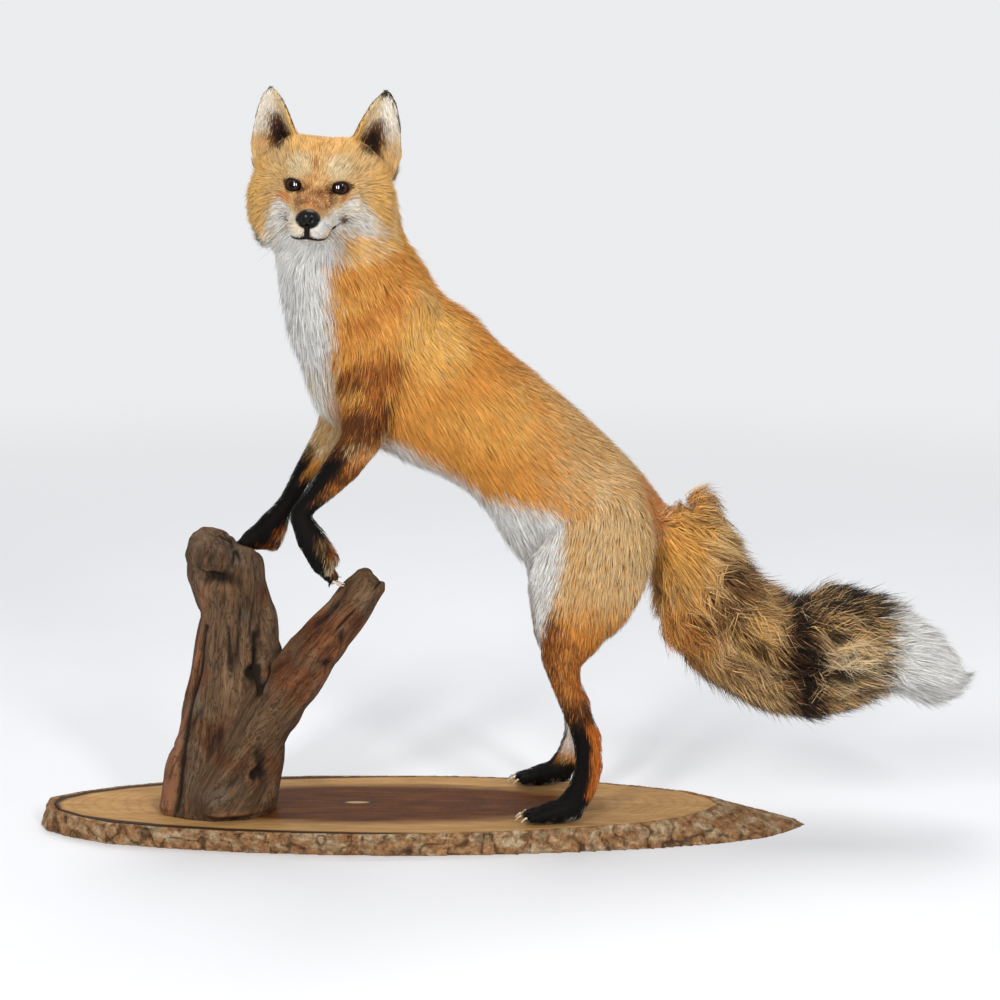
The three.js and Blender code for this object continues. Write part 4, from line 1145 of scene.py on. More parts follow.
def hair_colours(share, rng):
    """Colours at the root, half way and at the tip of each tuft: each takes one kind of hair by its share."""
    pick = np.cumsum(share / share.sum(axis=1, keepdims=True), axis=1)
    spot = rng.random(len(share))[:, None]
    kind = (spot > pick).sum(axis=1).clip(0, len(ZONES) - 1)
    table = np.array([[linear(c) for c in HAIR[zone]] for zone in ZONES])
    own = table[kind]
    mean = np.einsum("nz,zkc->nkc", share, table)
    mixed = OWN_TONE * own + (1 - OWN_TONE) * mean
    return mixed * rng.normal(1.0, TONE_SPREAD, len(share)).clip(0.6, 1.4)[:, None, None]


def unrolled(points):
    """An unwrap of a limb or the trunk: round its middle line, and along it, both from 0 to 1."""
    centre = points.mean(axis=0)
    _, _, axes = np.linalg.svd((points[:: max(1, len(points) // 4000)] - centre), full_matrices=False)
    along = (points - centre) @ axes[0]
    edges = np.linspace(along.min(), along.max(), 13)
    which = np.clip(np.digitize(along, edges) - 1, 0, 11)
    number = np.maximum(np.bincount(which, minlength=12), 1)
    means = np.stack([np.bincount(which, points[:, k], 12) / number for k in range(3)], axis=1)
    means[np.bincount(which, minlength=12) == 0] = centre
    mids = (edges[1:] + edges[:-1]) / 2
    line = np.stack([np.interp(along, mids, means[:, k]) for k in range(3)], axis=1)
    gap = points - line
    angle = np.arctan2(gap @ axes[2], gap @ axes[1])
    u = (angle / (2 * math.pi) + 0.5) * 0.98 + 0.01
    v = (along - along.min()) / (along.max() - along.min()) * 0.98 + 0.01
    return np.stack([u, v], axis=1)


def coat_piece(name, chosen, skin, rng):
    """One joined mesh of tufts on these triangles of the skin."""
    surface = skin["surface"]
    corners = surface.points[surface.triangles[chosen]]
    area = np.linalg.norm(np.cross(corners[:, 1] - corners[:, 0], corners[:, 2] - corners[:, 0]), axis=1) / 2
    density = skin["fields"][surface.triangles[chosen], COUNT].mean(axis=1)
    roots = Roots(surface, chosen, area * density * coat_share(), rng)
    paths = tuft_paths(roots, skin, rng)
    points, shades = tuft_arrays(paths, rng)
    start, _, tip, out = paths[:4]
    shown_at = start + MARK_AT * (tip - start)
    scatter = EDGE_MIX * np.linalg.norm(tip - start, axis=1, keepdims=True)
    shown_at = shown_at + scatter * rng.normal(0, 1, shown_at.shape)
    share = markings(shown_at, out, skin["owner"][roots.corners[:, 0]])
    tone = 1 + sum(much * value_noise(shown_at, cell, seed) for much, cell, seed in LOCK_TONES)
    colours = hair_colours(share, rng)[:, [0, 1, 1, 1, 2]] * tone[:, None, None]
    count, corners = points.shape[:2]
    faces = np.array(TUFT_FACES)
    loops = (faces.ravel()[None, :] + (np.arange(count) * corners)[:, None]).ravel()
    mesh = bpy.data.meshes.new(name)
    mesh.vertices.add(count * corners)
    set_points(mesh, points)
    mesh.loops.add(len(loops))
    mesh.loops.foreach_set("vertex_index", loops.astype(np.int32))
    mesh.polygons.add(count * len(faces))
    mesh.polygons.foreach_set("loop_start", np.arange(0, len(loops), 3, dtype=np.int32))
    mesh.polygons.foreach_set("use_smooth", np.ones(count * len(faces), bool))
    store(mesh, "coat", colours.reshape(-1, 3))
    chance = np.repeat(rng.random(count), corners)
    strand = np.stack([np.tile(TUFT_ACROSS, count), np.tile(TUFT_ALONG, count), chance], axis=1)
    store(mesh, "strand", strand)
    place = np.repeat(unrolled(paths[-1]), corners, axis=0)
    place += PATCH * (strand[:, :2] - 0.5)
    flat = mesh.uv_layers.new(name="OFBake")
    flat.data.foreach_set("uv", place[loops].astype(np.float32).ravel())
    mesh.update()
    mesh.validate()
    mesh.normals_split_custom_set_from_vertices(shades.reshape(-1, 3).astype(np.float32))
    piece = new_object(name, mesh)
    mesh.materials.append(coat_material())
    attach(piece, "root")


def coat_share():
    """All the tufts."""
    return 1.0


def make_coat(surface, owner, outer):
    lie = hair_directions(surface, owner)
    normals = surface.normals()
    smooth = unit(surface.spread(normals, 10))
    kinds = KINDS[owner]
    normals = np.where(np.isin(kinds, FIRM)[:, None], normals, smooth)
    store_skin_colour(surface, markings(surface.points, normals, owner))
    tree = search_tree(surface.points, surface.triangles)
    skin = {"surface": surface, "points": surface.points, "normals": normals}
    skin |= {"lie": lie, "tree": tree, "owner": owner}
    skin["free"] = surface.spread((np.array(FLESH) == "tail_tip")[owner].astype(float), 6)
    skin["tail"] = surface.spread(np.char.startswith(kinds, "tail").astype(float), 6)
    skin["fields"] = coat_fields(surface, owner, normals, outer)
    face_kind = kinds[surface.triangles[:, 0]]
    middles = surface.points[surface.triangles].mean(axis=1)
    left_of_head = in_head(middles)[:, 1] > 0
    for number, (group, members) in enumerate(PIECES.items()):
        member = np.isin(face_kind, members)
        left = left_of_head if group in ("head", "ear") else middles[:, 1] < 0
        halves = {"_left": member & left, "_right": member & ~left}
        if group in ONE_PIECE:
            halves = {"": member}
        for half, (suffix, chosen) in enumerate(halves.items()):
            rng = np.random.default_rng(SEED + 10 * number + half)
            coat_piece("coat_" + group + suffix, np.flatnonzero(chosen), skin, rng)


def store_skin_colour(surface, share):
    """The skin carries the coat's own markings, a little darker, as it lies in the coat's shade."""
    table = [SKIN_ROOT * linear(HAIR[z][0]) + (1 - SKIN_ROOT) * linear(HAIR[z][1]) for z in ZONES]
    colour = share @ np.array(table)
    bare = bare_skin(surface)[:, None]
    colour = colour * (1 - bare) + linear(HAIR["bare"][0]) * bare
    store(bpy.data.objects["skin"].data, "coat", colour)
    store(bpy.data.objects["skin"].data, "bare", bare[:, 0], "FLOAT")


# ================================================================ shader tools
class Shades:
    """Adds nodes to one tree. A socket given as an input is linked, and a plain value is set."""

    def __init__(self, tree):
        self.tree = tree

    def put(self, kind, inputs=None, **settings):
        node = self.tree.nodes.new("ShaderNode" + kind)
        for key, value in settings.items():
            setattr(node, key, value)
        for key, value in (inputs or {}).items():
            self.feed(node.inputs[key], value)
        return node

    def feed(self, socket, value):
        if isinstance(value, bpy.types.NodeSocket):
            self.tree.links.new(value, socket)
        else:
            socket.default_value = value

    def attribute(self, name):
        return self.put("Attribute", attribute_name=name)

    def place(self, scale=(1, 1, 1), turn=(0, 0, 0), shift=(0, 0, 0)):
        """Object coordinates, shifted, turned and stretched."""
        coordinates = self.put("TexCoord").outputs["Object"]
        given = {"Vector": coordinates, "Scale": scale, "Rotation": turn, "Location": shift}
        return self.put("Mapping", given).outputs["Vector"]

    def noise(self, vector, scale, detail=3.0, rough=0.55, twist=0.0):
        given = {"Vector": vector, "Scale": scale, "Detail": detail, "Roughness": rough, "Distortion": twist}
        return self.put("TexNoise", given).outputs["Fac"]

    def value(self, name):
        """A number stored on the mesh."""
        return self.attribute(name).outputs["Fac"]

    def length(self, vector):
        return self.put("VectorMath", {0: vector}, operation="LENGTH").outputs["Value"]

    def cells(self, vector, scale, feature="F1"):
        return self.put("TexVoronoi", {"Vector": vector, "Scale": scale}, feature=feature).outputs["Distance"]

    def blend(self, share, first, second, way="MIX"):
        node = self.put("Mix", data_type="RGBA", blend_type=way)
        for index, value in ((0, share), (6, first), (7, second)):
            self.feed(node.inputs[index], value)
        return node.outputs[2]

    def math(self, way, first, second=0.0, third=0.0):
        return self.put("Math", {0: first, 1: second, 2: third}, operation=way).outputs[0]

    def steps(self, value, *stops):
        """A run of colours; each stop is a place from 0 to 1 and a colour, 0 to 255 each."""
        node = self.put("ValToRGB", {"Fac": value})
        marks = node.color_ramp.elements
        while len(marks) < len(stops):
            marks.new(1.0)
        for mark, (at, colour) in zip(marks, stops):
            mark.position = at
            mark.color = rgba(*colour)
        return node.outputs["Color"]

    def rise(self, value, low, high, start=0.0, end=1.0):
        given = {"Value": value, "From Min": low, "From Max": high, "To Min": start, "To Max": end}
        return self.put("MapRange", given, interpolation_type="SMOOTHSTEP").outputs["Result"]

    def bump(self, height, strength, depth):
        return self.put("Bump", {"Height": height, "Strength": strength, "Distance": depth}).outputs["Normal"]

    def group(self, tree, **inputs):
        node = self.put("Group", node_tree=tree)
        for key, value in inputs.items():
            self.feed(node.inputs[key], value)
        return node.outputs

    def tint(self, colour, value, low, high, share, target):
        """The colour turned towards the target, by up to this share as the value goes from low to high."""
        return self.blend(self.rise(value, low, high, 0.0, share), colour, rgba(*target))

    def surface(self, colour, rough, normal=None, specular=0.5, **others):
        """The Principled shader and the output."""
        given = {"Base Color": colour, "Roughness": rough, "Specular IOR Level": specular}
        given |= {key.replace("_", " "): value for key, value in others.items()}
        if normal is not None:
            given["Normal"] = normal
        shader = self.put("BsdfPrincipled", given)
        out = self.put("OutputMaterial")
        self.tree.links.new(shader.outputs["BSDF"], out.inputs["Surface"])


made_once = {}


def once(name, start, finish):
    """Turns a function that adds shader nodes into one that gives the finished thing, built once."""

    def wrap(build):
        def give():
            if name not in made_once:
                made_once[name] = start(name)
                finish(made_once[name], build)
            return made_once[name]

        return give

    return wrap


def material(name):
    """For a function that gets a material's empty tree and adds its nodes."""

    def finish(made, build):
        made.use_nodes = True
        made.node_tree.nodes.clear()
        build(Shades(made.node_tree))

    return once(name, bpy.data.materials.new, finish)


def group(name, takes, gives):
    """For a function that gets a node group's tree and inputs, and gives its outputs."""

    def finish(tree, build):
        for socket, (kind, value) in takes.items():
            made = tree.interface.new_socket(name=socket, in_out="INPUT", socket_type="NodeSocket" + kind)
            if value is not None:
                made.default_value = value
        for socket, kind in gives.items():
            tree.interface.new_socket(name=socket, in_out="OUTPUT", socket_type="NodeSocket" + kind)
        results = build(Shades(tree), tree.nodes.new("NodeGroupInput").outputs)
        end = tree.nodes.new("NodeGroupOutput").inputs
        for socket, result in results.items():
            tree.links.new(result, end[socket])

    return once(name, lambda made: bpy.data.node_groups.new(made, "ShaderNodeTree"), finish)


@group("HairTone", {"Base": ("Color", None), "Lines": ("Float", 0.5), "Contrast": ("Float", 0.4)},
       {"Colour": "Color"})
def hair_tone(shades, inside):
    """Varies a hair colour by fine lines along the hair and by soft patches over the body."""
    patches = shades.noise(shades.place(), 70.0, 2.0)
    lines = shades.math("SUBTRACT", inside["Lines"], 0.5)
    tone = shades.math("ADD", shades.math("MULTIPLY", lines, inside["Contrast"]), 1.0)
    tone = shades.math("MULTIPLY", tone, shades.rise(patches, 0.3, 0.7, 0.93, 1.07))
    bright = shades.put("CombineColor", {0: tone, 1: tone, 2: tone}).outputs[0]
    return {"Colour": shades.blend(1.0, inside["Base"], bright, "MULTIPLY")}


@material("fox_coat")
def coat_material(shades):
    strand = shades.put("SeparateColor", {0: shades.attribute("strand").outputs["Color"]}).outputs
    across = shades.math("MULTIPLY_ADD", strand[0], 4.0, shades.math("MULTIPLY", strand[2], 61.0))
    along = shades.math("MULTIPLY", strand[1], 1.2)
    place = shades.put("CombineXYZ", {0: across, 1: along, 2: strand[2]}).outputs[0]
    lines = shades.noise(place, 1.0, 2.0, 0.6)
    base = shades.attribute("coat").outputs["Color"]
    colour = shades.group(hair_tone(), Base=base, Lines=lines, Contrast=0.7)["Colour"]
    shades.surface(colour, shades.rise(lines, 0.2, 0.8, 0.52, 0.7), shades.bump(lines, 0.25, 0.0004), 0.12,
                   Sheen_Weight=0.05, Sheen_Roughness=0.4)


@material("fox_skin")
def skin_material(shades):
    """The coat's colours with fine hairs as bump, and smooth black where the skin is bare."""
    hairs = shades.noise(shades.place(), 900.0, 3.0, 0.7)
    base = shades.attribute("coat").outputs["Color"]
    colour = shades.group(hair_tone(), Base=base, Lines=hairs, Contrast=0.9)["Colour"]
    rough = shades.rise(shades.value("bare"), 0.0, 1.0, 0.72, 0.34)
    shades.surface(colour, rough, shades.bump(hairs, 0.6, 0.0005), 0.14)


@material("eye_glass")
def eye_material(shades):
    """A glass eye: a pupil, a brown iris with fine rays, and a dark edge."""
    rays = shades.noise(shades.attribute("rays").outputs["Vector"], 6.0, 3.0, 0.7)
    brown = shades.steps(rays, (0.3, (40, 19, 10)), (0.55, (72, 34, 17)), (0.75, (104, 54, 26)))
    rim = shades.value("iris")
    rim = shades.steps(rim, (0.62, (255, 255, 255)), (0.82, (52, 40, 34)), (0.95, (16, 11, 10)))
    colour = shades.blend(1.0, brown, rim, "MULTIPLY")
    colour = shades.tint(colour, shades.value("pupil"), 1.12, 0.9, 1.0, (5, 4, 4))
    shades.surface(colour, 0.02, specular=0.16)


@material("nose_leather")
def nose_material(shades):
    pebbles = shades.cells(shades.place(), 1500.0)
    tone = shades.noise(shades.place(), 260.0)
    colour = shades.steps(tone, (0.3, (7, 7, 8)), (0.7, (14, 12, 13)))
    rough = shades.rise(tone, 0.3, 0.7, 0.12, 0.2)
    shades.surface(colour, rough, shades.bump(pebbles, 0.14, 0.0003), 0.2)


@material("dark_skin")
def lip_material(shades):
    """Dark bare skin of the lids and the lips."""
    creases = shades.noise(shades.place(), 1400.0, 2.0)
    tone = shades.noise(shades.place(), 300.0)
    colour = shades.steps(tone, (0.3, (12, 8, 8)), (0.7, (26, 18, 16)))
    rough = shades.rise(tone, 0.3, 0.7, 0.42, 0.6)
    shades.surface(colour, rough, shades.bump(creases, 0.4, 0.0003), 0.12)


@material("claw_horn")
def claw_material(shades):
    layers = shades.noise(shades.place((1, 1, 4)), 420.0, 3.0)
    colour = shades.steps(layers, (0.25, (150, 128, 98)), (0.5, (206, 190, 160)), (0.8, (228, 216, 192)))
    shades.surface(colour, shades.rise(layers, 0.2, 0.8, 0.28, 0.42), shades.bump(layers, 0.2, 0.0003))


@material("whisker")
def whisker_material(shades):
    tone = shades.noise(shades.place(), 120.0)
    colour = shades.steps(tone, (0.3, (18, 15, 14)), (0.7, (44, 36, 32)))
    shades.surface(colour, shades.rise(tone, 0.3, 0.7, 0.3, 0.4))


@group("WoodGrain", {"Vector": ("Vector", None), "Fine": ("Float", 300.0)},
       {"Streaks": "Float", "Height": "Float"})
def wood_grain(shades, inside):
    """Wood fibres along Z of the vector: light and dark streaks, and a height for bump."""
    broad = shades.noise(inside["Vector"], 60.0, 4.0, 0.6, 0.6)
    fine = shades.noise(inside["Vector"], inside["Fine"], 5.0, 0.7)
    both = shades.math("ADD", shades.math("MULTIPLY", broad, 0.6), shades.math("MULTIPLY", fine, 0.4))
    return {"Streaks": both, "Height": fine}


@material("driftwood")
def driftwood_material(shades):
    """Grey-brown weathered wood, reddish in places, with painted shade in its cracks, hollows and pits, and
    paler on its ridges from wear and a painted highlight.
    """
    along = shades.attribute("grain").outputs["Vector"]
    grain = shades.group(wood_grain(), Vector=along, Fine=420.0)
    dip = shades.value("dip")
    red = shades.noise(shades.place(), 14.0, 3.0, 0.6)
    grey = shades.noise(shades.place(shift=(3, 1, 2)), 22.0, 4.0, 0.65)
    colour = shades.steps(grain["Streaks"], (0.28, (44, 32, 23)), (0.42, (80, 59, 42)),
                          (0.56, (108, 82, 58)), (0.72, (142, 112, 82)))
    reddish = shades.blend(1.0, colour, rgba(255, 196, 160), "MULTIPLY")
    colour = shades.blend(shades.rise(red, 0.5, 0.66, 0.0, 0.8), colour, reddish)
    greyish = shades.blend(0.45, colour, rgba(112, 102, 88))
    colour = shades.blend(shades.rise(grey, 0.5, 0.7, 0.0, 0.8), colour, greyish)
    # paler on the ridges: partly wear, partly painted highlight
    colour = shades.tint(colour, shades.value("worn"), 0.0, 1.0, 0.6, (160, 112, 74))
    strip = shades.math("MULTIPLY", shades.value("strip"), 0.6)
    colour = shades.blend(strip, colour, rgba(158, 104, 72))
    thin = shades.noise(along, 170.0, 4.0, 0.65, 0.4)
    thin = shades.rise(shades.math("ABSOLUTE", shades.math("SUBTRACT", thin, 0.5)), 0.0, 0.03, 0.7, 0.0)
    colour = shades.blend(thin, colour, rgba(38, 27, 19))
    # painted shade in the cracks, hollows and pits
    colour = shades.tint(colour, dip, 0.05, 0.9, 0.92, (28, 20, 14))
    height = shades.math("SUBTRACT", grain["Height"], shades.math("MULTIPLY", dip, 0.5))
    height = shades.math("SUBTRACT", height, shades.math("MULTIPLY", thin, 0.5))
    rough = shades.rise(grain["Streaks"], 0.3, 0.7, 0.86, 0.68)
    shades.surface(colour, rough, shades.bump(height, 0.8, 0.0016), 0.15)


# middles and half sizes on the slice, in millimetres
HEART = ((-45, 0), (262, 74))
KNOT = ((-68, 4), (16, 5))


def round_place(shades, spot):
    """Object coordinates in which a spot on the slice is a round of radius 1."""
    (mid_x, mid_y), (half_x, half_y) = spot
    scale = (1 / (half_x * MM), 1 / (half_y * MM), 0)
    return shades.place(scale, shift=(-mid_x / half_x, -mid_y / half_y, 0))


@material("slab_timber")
def slice_material(shades):
    """Dark heartwood in pale sapwood, yearly rings round it, and a thin dark line at the bark."""
    out = shades.length(round_place(shades, HEART))
    wander = shades.noise(shades.place((1, 3, 1)), 9.0, 3.0)
    out = shades.math("ADD", out, shades.math("MULTIPLY_ADD", wander, 0.22, -0.11))
    rings = shades.math("SINE", shades.math("MULTIPLY", out, 110.0))
    fine = shades.noise(shades.place(), 500.0, 4.0, 0.7)
    streak = shades.noise(shades.place((0.35, 2.0, 1)), 60.0, 4.0, 0.6)
    sap = shades.steps(streak, (0.3, (162, 120, 72)), (0.6, (188, 146, 92)), (0.8, (202, 162, 108)))
    heart = shades.steps(streak, (0.3, (66, 32, 8)), (0.55, (92, 50, 14)), (0.8, (116, 70, 28)))
    colour = shades.blend(shades.rise(out, 1.04, 0.76), sap, heart)
    edge = shades.math("ABSOLUTE", shades.math("SUBTRACT", out, 0.94))
    colour = shades.tint(colour, edge, 0.09, 0.0, 0.3, (96, 62, 44))
    colour = shades.tint(colour, rings, 0.2, 1.0, 0.16, (84, 56, 38))
    knot = shades.length(round_place(shades, KNOT))
    colour = shades.tint(colour, knot, 2.4, 1.0, 0.75, (60, 40, 30))
    colour = shades.tint(colour, knot, 1.0, 0.6, 1.0, (178, 144, 104))
    colour = shades.tint(colour, shades.value("rim"), 0.2, 0.9, 1.0, (58, 40, 28))
    height = shades.math("ADD", fine, shades.math("MULTIPLY", rings, 0.15))
    shades.surface(colour, shades.rise(fine, 0.3, 0.7, 0.52, 0.66), shades.bump(height, 0.2, 0.0005), 0.1)


@material("bark")
def bark_material(shades):
    flakes = shades.noise(shades.place(), 120.0, 5.0, 0.7, 0.5)
    kinds = shades.noise(shades.place((1, 1, 2)), 42.0, 3.0, 0.6)
    brown = shades.steps(flakes, (0.3, (74, 49, 32)), (0.5, (138, 100, 66)), (0.7, (178, 138, 96)))
    grey = shades.steps(flakes, (0.3, (96, 78, 58)), (0.5, (154, 128, 96)), (0.7, (200, 180, 148)))
    colour = shades.blend(shades.rise(kinds, 0.46, 0.6), brown, grey)
    # painted shade in the cracks, and darker on the faces that don't face outward
    colour = shades.tint(colour, shades.value("dip"), 0.2, 1.0, 0.7, (44, 32, 24))
    shades.surface(colour, shades.rise(flakes, 0.3, 0.7, 0.92, 0.75), shades.bump(flakes, 0.9, 0.002), 0.12)


@material("floor")
def floor_material(shades):
    """Pale round the object, and as bright as the room's walls further off, so that no far edge shows."""
    tone = shades.noise(shades.place(), 3.0)
    colour = shades.steps(tone, (0.0, (240, 241, 243)), (1.0, (245, 246, 248)))
    given = {"Base Color": colour, "Roughness": 0.9, "Specular IOR Level": 0.1}
    shader = shades.put("BsdfPrincipled", given)
    glow = shades.put("Emission", {"Color": ROOM_COLOUR, "Strength": ROOM_BRIGHT})
    far = shades.rise(shades.length(shades.place()), FLOOR_NEAR, FLOOR_FAR)
    far = shades.math("MULTIPLY", far, shades.put("LightPath").outputs["Is Camera Ray"])
    mixed = shades.put("MixShader", {0: far, 1: shader.outputs[0], 2: glow.outputs[0]})
    out = shades.put("OutputMaterial")
    shades.tree.links.new(mixed.outputs[0], out.inputs["Surface"])


# ================================================================ eyes, nose, lids, lips, claws, whiskers
def finished(name, mesh, material, *nodes, slot=None):
    """A smooth piece that rides on the root and stands for these nodes."""
    mesh.name = name
    for face in mesh.polygons:
        face.use_smooth = True
    mesh.materials.clear()
    mesh.materials.append(material)
    piece = new_object(name, mesh)
    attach(piece, "root")
    if nodes:
        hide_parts(*nodes)
    return piece


def tube(lines, widths, closed=False, sides=3):
    """One mesh of round tubes along lines of points; widths gives each line's radii in millimetres."""
    curve = bpy.data.curves.new("tube", "CURVE")
    curve.dimensions = "3D"
    curve.bevel_depth = MM
    curve.bevel_resolution = sides
    curve.use_fill_caps = True
    for line, width in zip(lines, widths):
        run = curve.splines.new("POLY")
        run.points.add(len(line) - 1)
        run.use_cyclic_u = closed
        run.points.foreach_set("co", np.column_stack([line, np.ones(len(line))]).astype(np.float32).ravel())
        run.points.foreach_set("radius", np.broadcast_to(width, len(line)).astype(np.float32))
        run.use_smooth = True
    holder = new_object("tube", curve)
    mesh = with_modifiers(holder)
    bpy.data.objects.remove(holder)
    return mesh


def make_eyes():
    """Glass eyes, flatter in front than a ball."""
    pupil_wide, pupil_high, iris_size = 0.44, 0.50, 0.80
    depth, ahead = 0.45, 3.4
    turned = math.radians(5)  # towards the nose
    gaze = 0.10  # the pupil's middle lies this far towards the nose, in shares of the eye's radius
    for side, (centre, rows) in EYES.items():
        mesh = ball("eye", 48, 36)
        local = points_of(mesh)[:, [2, 0, 1]]
        place = local * (depth, 1, 1) * EYE_RADIUS @ np.array([
            [math.cos(turned), -math.sin(turned), 0],
            [math.sin(turned), math.cos(turned), 0],
            [0, 0, 1],
        ])
        place = (place + (ahead, 0, 0)) * MM @ rows + centre
        local[:, 1] += gaze
        set_points(mesh, place)
        flat = np.linalg.norm(local[:, 1:], axis=1) + 2 * (local[:, 0] < 0)
        slit = np.linalg.norm(local[:, 1:] / (pupil_wide, pupil_high), axis=1) + 9 * (local[:, 0] < 0)
        store(mesh, "iris", flat * 0.74 / iris_size, "FLOAT")
        store(mesh, "pupil", slit, "FLOAT")
        angle = np.arctan2(local[:, 2], local[:, 1])
        store(mesh, "rays", np.stack([np.cos(angle) * 2, np.sin(angle) * 2, flat * 0.4], axis=1))
        eye = finished("glass_eye_" + side, mesh, eye_material(), "eye_" + side, slot="eye_glass")
        bpy.data.collections["glass_eyes"].objects.link(eye)


def make_lids():
    """The dark edge of the lids round each eye, drawn out to a point at the inner corner."""
    turn = np.linspace(0, 2 * math.pi, 48, endpoint=False)
    for side, (centre, rows) in EYES.items():
        wide = np.where(np.cos(turn) > 0, LID_OUTER, LID_INNER) * np.cos(turn)
        high = np.where(np.sin(turn) > 0, LID_UPPER, LID_LOWER) * np.sin(turn) * np.abs(np.sin(turn)) ** 0.2
        flat = np.minimum(wide**2 + high**2, (EYE_RADIUS + 0.3) ** 2 - 6)
        ahead = np.sqrt((EYE_RADIUS + 0.3) ** 2 - flat)
        line = np.stack([ahead, wide, high], axis=1) * MM @ rows + centre
        width = 0.55 + 0.45 * np.clip(np.sin(turn), 0, 1)
        finished("lids_" + side, tube([line], [width], closed=True), lip_material())


def nose_shape(sphere):
    """A nose pad, broad above and narrow below, with nostrils and a groove, from a ball of radius 1."""
    ahead, side, up = sphere.T
    narrow = 1 - 0.38 * ramp(-up, 0.0, 0.95)
    out = np.stack([8.2 * ahead * (1 - 0.12 * ramp(-up, 0.2, 1)), 11.9 * side * narrow, 9.3 * up], axis=1)
    inward = np.zeros(len(sphere))
    for nostril in (-1, 1):
        hole = ((ahead - 0.80) / 0.34, (side - 0.47 * nostril) / 0.19, (up + 0.10) / 0.22)
        slit = ((ahead - 0.48) / 0.36, (side - 0.78 * nostril) / 0.22, (up + 0.22) / 0.11)
        inward += 4.2 * np.exp(-sum(h * h for h in hole))
        inward += 1.8 * np.exp(-sum(h * h for h in slit))
    inward += 0.9 * np.exp(-((side / 0.10) ** 2)) * ramp(up, 0.25, -0.2) * (ahead > 0)
    return out - unit(out) * inward[:, None]


def make_nose():
    mesh = ball("nose_pad", 72, 54)
    local = nose_shape(points_of(mesh))
    set_points(mesh, local * MM @ HEAD_AXES + middle("nose"))
    mesh.update()
    finished("nose_pad", mesh, nose_material(), "nose", slot="nose_leather")


def on_skin(tree, line, sink):
    """A line in the head laid on the skin, sunk below it by sink millimetres."""
    found = [tree.find_nearest(p) for p in from_head(line).tolist()]
    return np.array([np.array(f[0]) - np.array(f[1]) * sink * MM for f in found])


def make_lips(tree):
    """The dark edges of the lips, from corner to corner, and the strip between the mouth and the nose."""
    left = line_points(MOUTH, 40)
    mouth = np.concatenate([(left * (1, -1, 1))[:0:-1], left])
    upper = on_skin(tree, mouth + (0, 0, 1.2), 0.2)
    lower = on_skin(tree, mouth - (0.3, 0, 1.2), 0.3)
    strip = on_skin(tree, line_points(PHILTRUM, 12), 0.9)
    taper = ramp(np.abs(np.linspace(-1, 1, len(mouth))), 1.0, 0.8) * 0.4 + 0.7
    mesh = tube([upper, lower, strip], [1.6 * taper, 1.3 * taper, np.linspace(3.4, 2.6, 12)])
    finished("lips", mesh, lip_material())


def make_whiskers(tree):
    """Dark whiskers on the pads beside the nose, over the eyes and on the cheeks."""
    rng = np.random.default_rng(SEED)
    lines, widths = [], []
    for sign in (-1, 1):
        starts = [((104 - 5 * k % 17, sign * 15, -34 - 4 * (k % 4)), (0.15, 0.9, -0.6), 40) for k in range(7)]
        starts += [((42 - 3 * k, sign * 24, 17), (0.3, 0.35, 0.9), 20) for k in range(3)]
        starts += [((28, sign * 50, -26 - 4 * k), (-0.2, 0.9, -0.5), 28) for k in range(2)]
        for root, way, length in starts:
            way = unit(np.array(way) * (1, sign, 1) + rng.normal(0, 0.12, 3))
            droop = np.array([-0.5, 0, -0.35]) + rng.normal(0, 0.08, 3)
            size = length * rng.uniform(0.7, 1.1)
            begin = in_head(on_skin(tree, np.array([root], float), 1.0))[0]
            t = np.linspace(0, 1, 10)[:, None]
            line = begin + size * (way * t + 0.5 * droop * t * t)
            lines.append(from_head(line))
            widths.append(0.17 * (1 - 0.75 * t[:, 0]))
    finished("whiskers", tube(lines, widths, sides=1), whisker_material())


def make_claws():
    """The claws of each paw in one piece, finer and smooth."""
    for paw in sorted({name.rsplit("_", 1)[0] for name in CLAWS}):
        names = [name for name in CLAWS if name.startswith(paw)]
        mesh = joined_copies(names, dict.fromkeys(names, 0.0))
        piece = finished(paw.replace("claw_", "claws_"), mesh, claw_material(), *names, slot="claw_horn")
        finer = piece.modifiers.new("finer", "SUBSURF")
        finer.levels = finer.render_levels = 2


# ================================================================ the mount
BARK_CELL, WOOD_CELL = 2.4, 1.8
# hollows and swellings of the driftwood: centre, radii, and how deep or high, all mm
WOOD_HOLLOWS = (
    ((-212, -50, 294), (36, 26, 8), 14.0),
    ((-173, -46, 206), (9, 28, 30), 17.0),
    ((-171, -54, 84), (8, 28, 20), 14.0),
    ((-226, -60, 118), (11, 24, 15), 10.0),
    ((-208, -56, 236), (5, 20, 5), 5.0),
    ((-97, -44, 196), (7, 20, 6), 7.0),
    ((-84, -40, 226), (5, 20, 13), 6.0),
    ((-238, 40, 150), (12, 24, 28), 9.0),
    ((-190, 54, 84), (10, 24, 26), 9.0),
    ((-208, 50, 232), (10, 20, 18), 6.0),
)
WOOD_SWELLS = (
    ((-216, -28, 314), (32, 34, 13), 4.0),
    ((-158, 0, 240), (12, 44, 18), 5.0),
    ((-194, -62, 36), (22, 26, 20), 8.0),
    ((-150, -46, 52), (18, 26, 26), 6.0),
    ((-232, 40, 60), (24, 30, 40), 6.0),
)
ROOT = ((-118, 204), (-214, 46))  # a root that runs down the front from the branch, as x and z
ROOT_WIDE, ROOT_HIGH = 27, 8
SEAM = ((-232, 236), (-268, 22))  # the crack beside the strip of old bark on the left
SEAM_WIDE = 2.6


def distance_to_segment(flat, ends):
    """Distance of points (x, z) from a straight piece of line, in the same unit."""
    begin, end = np.array(ends, float)
    along = np.clip((flat - begin) @ (end - begin) / ((end - begin) ** 2).sum(), 0, 1)
    return np.linalg.norm(flat - begin - along[:, None] * (end - begin), axis=1)


def stretched(points, axis, share):
    """Points squeezed to a share of their size along an axis, so that noise there runs along it."""
    axis = unit(np.asarray(axis, float))
    return points + np.outer(points @ axis, axis) * (share - 1)


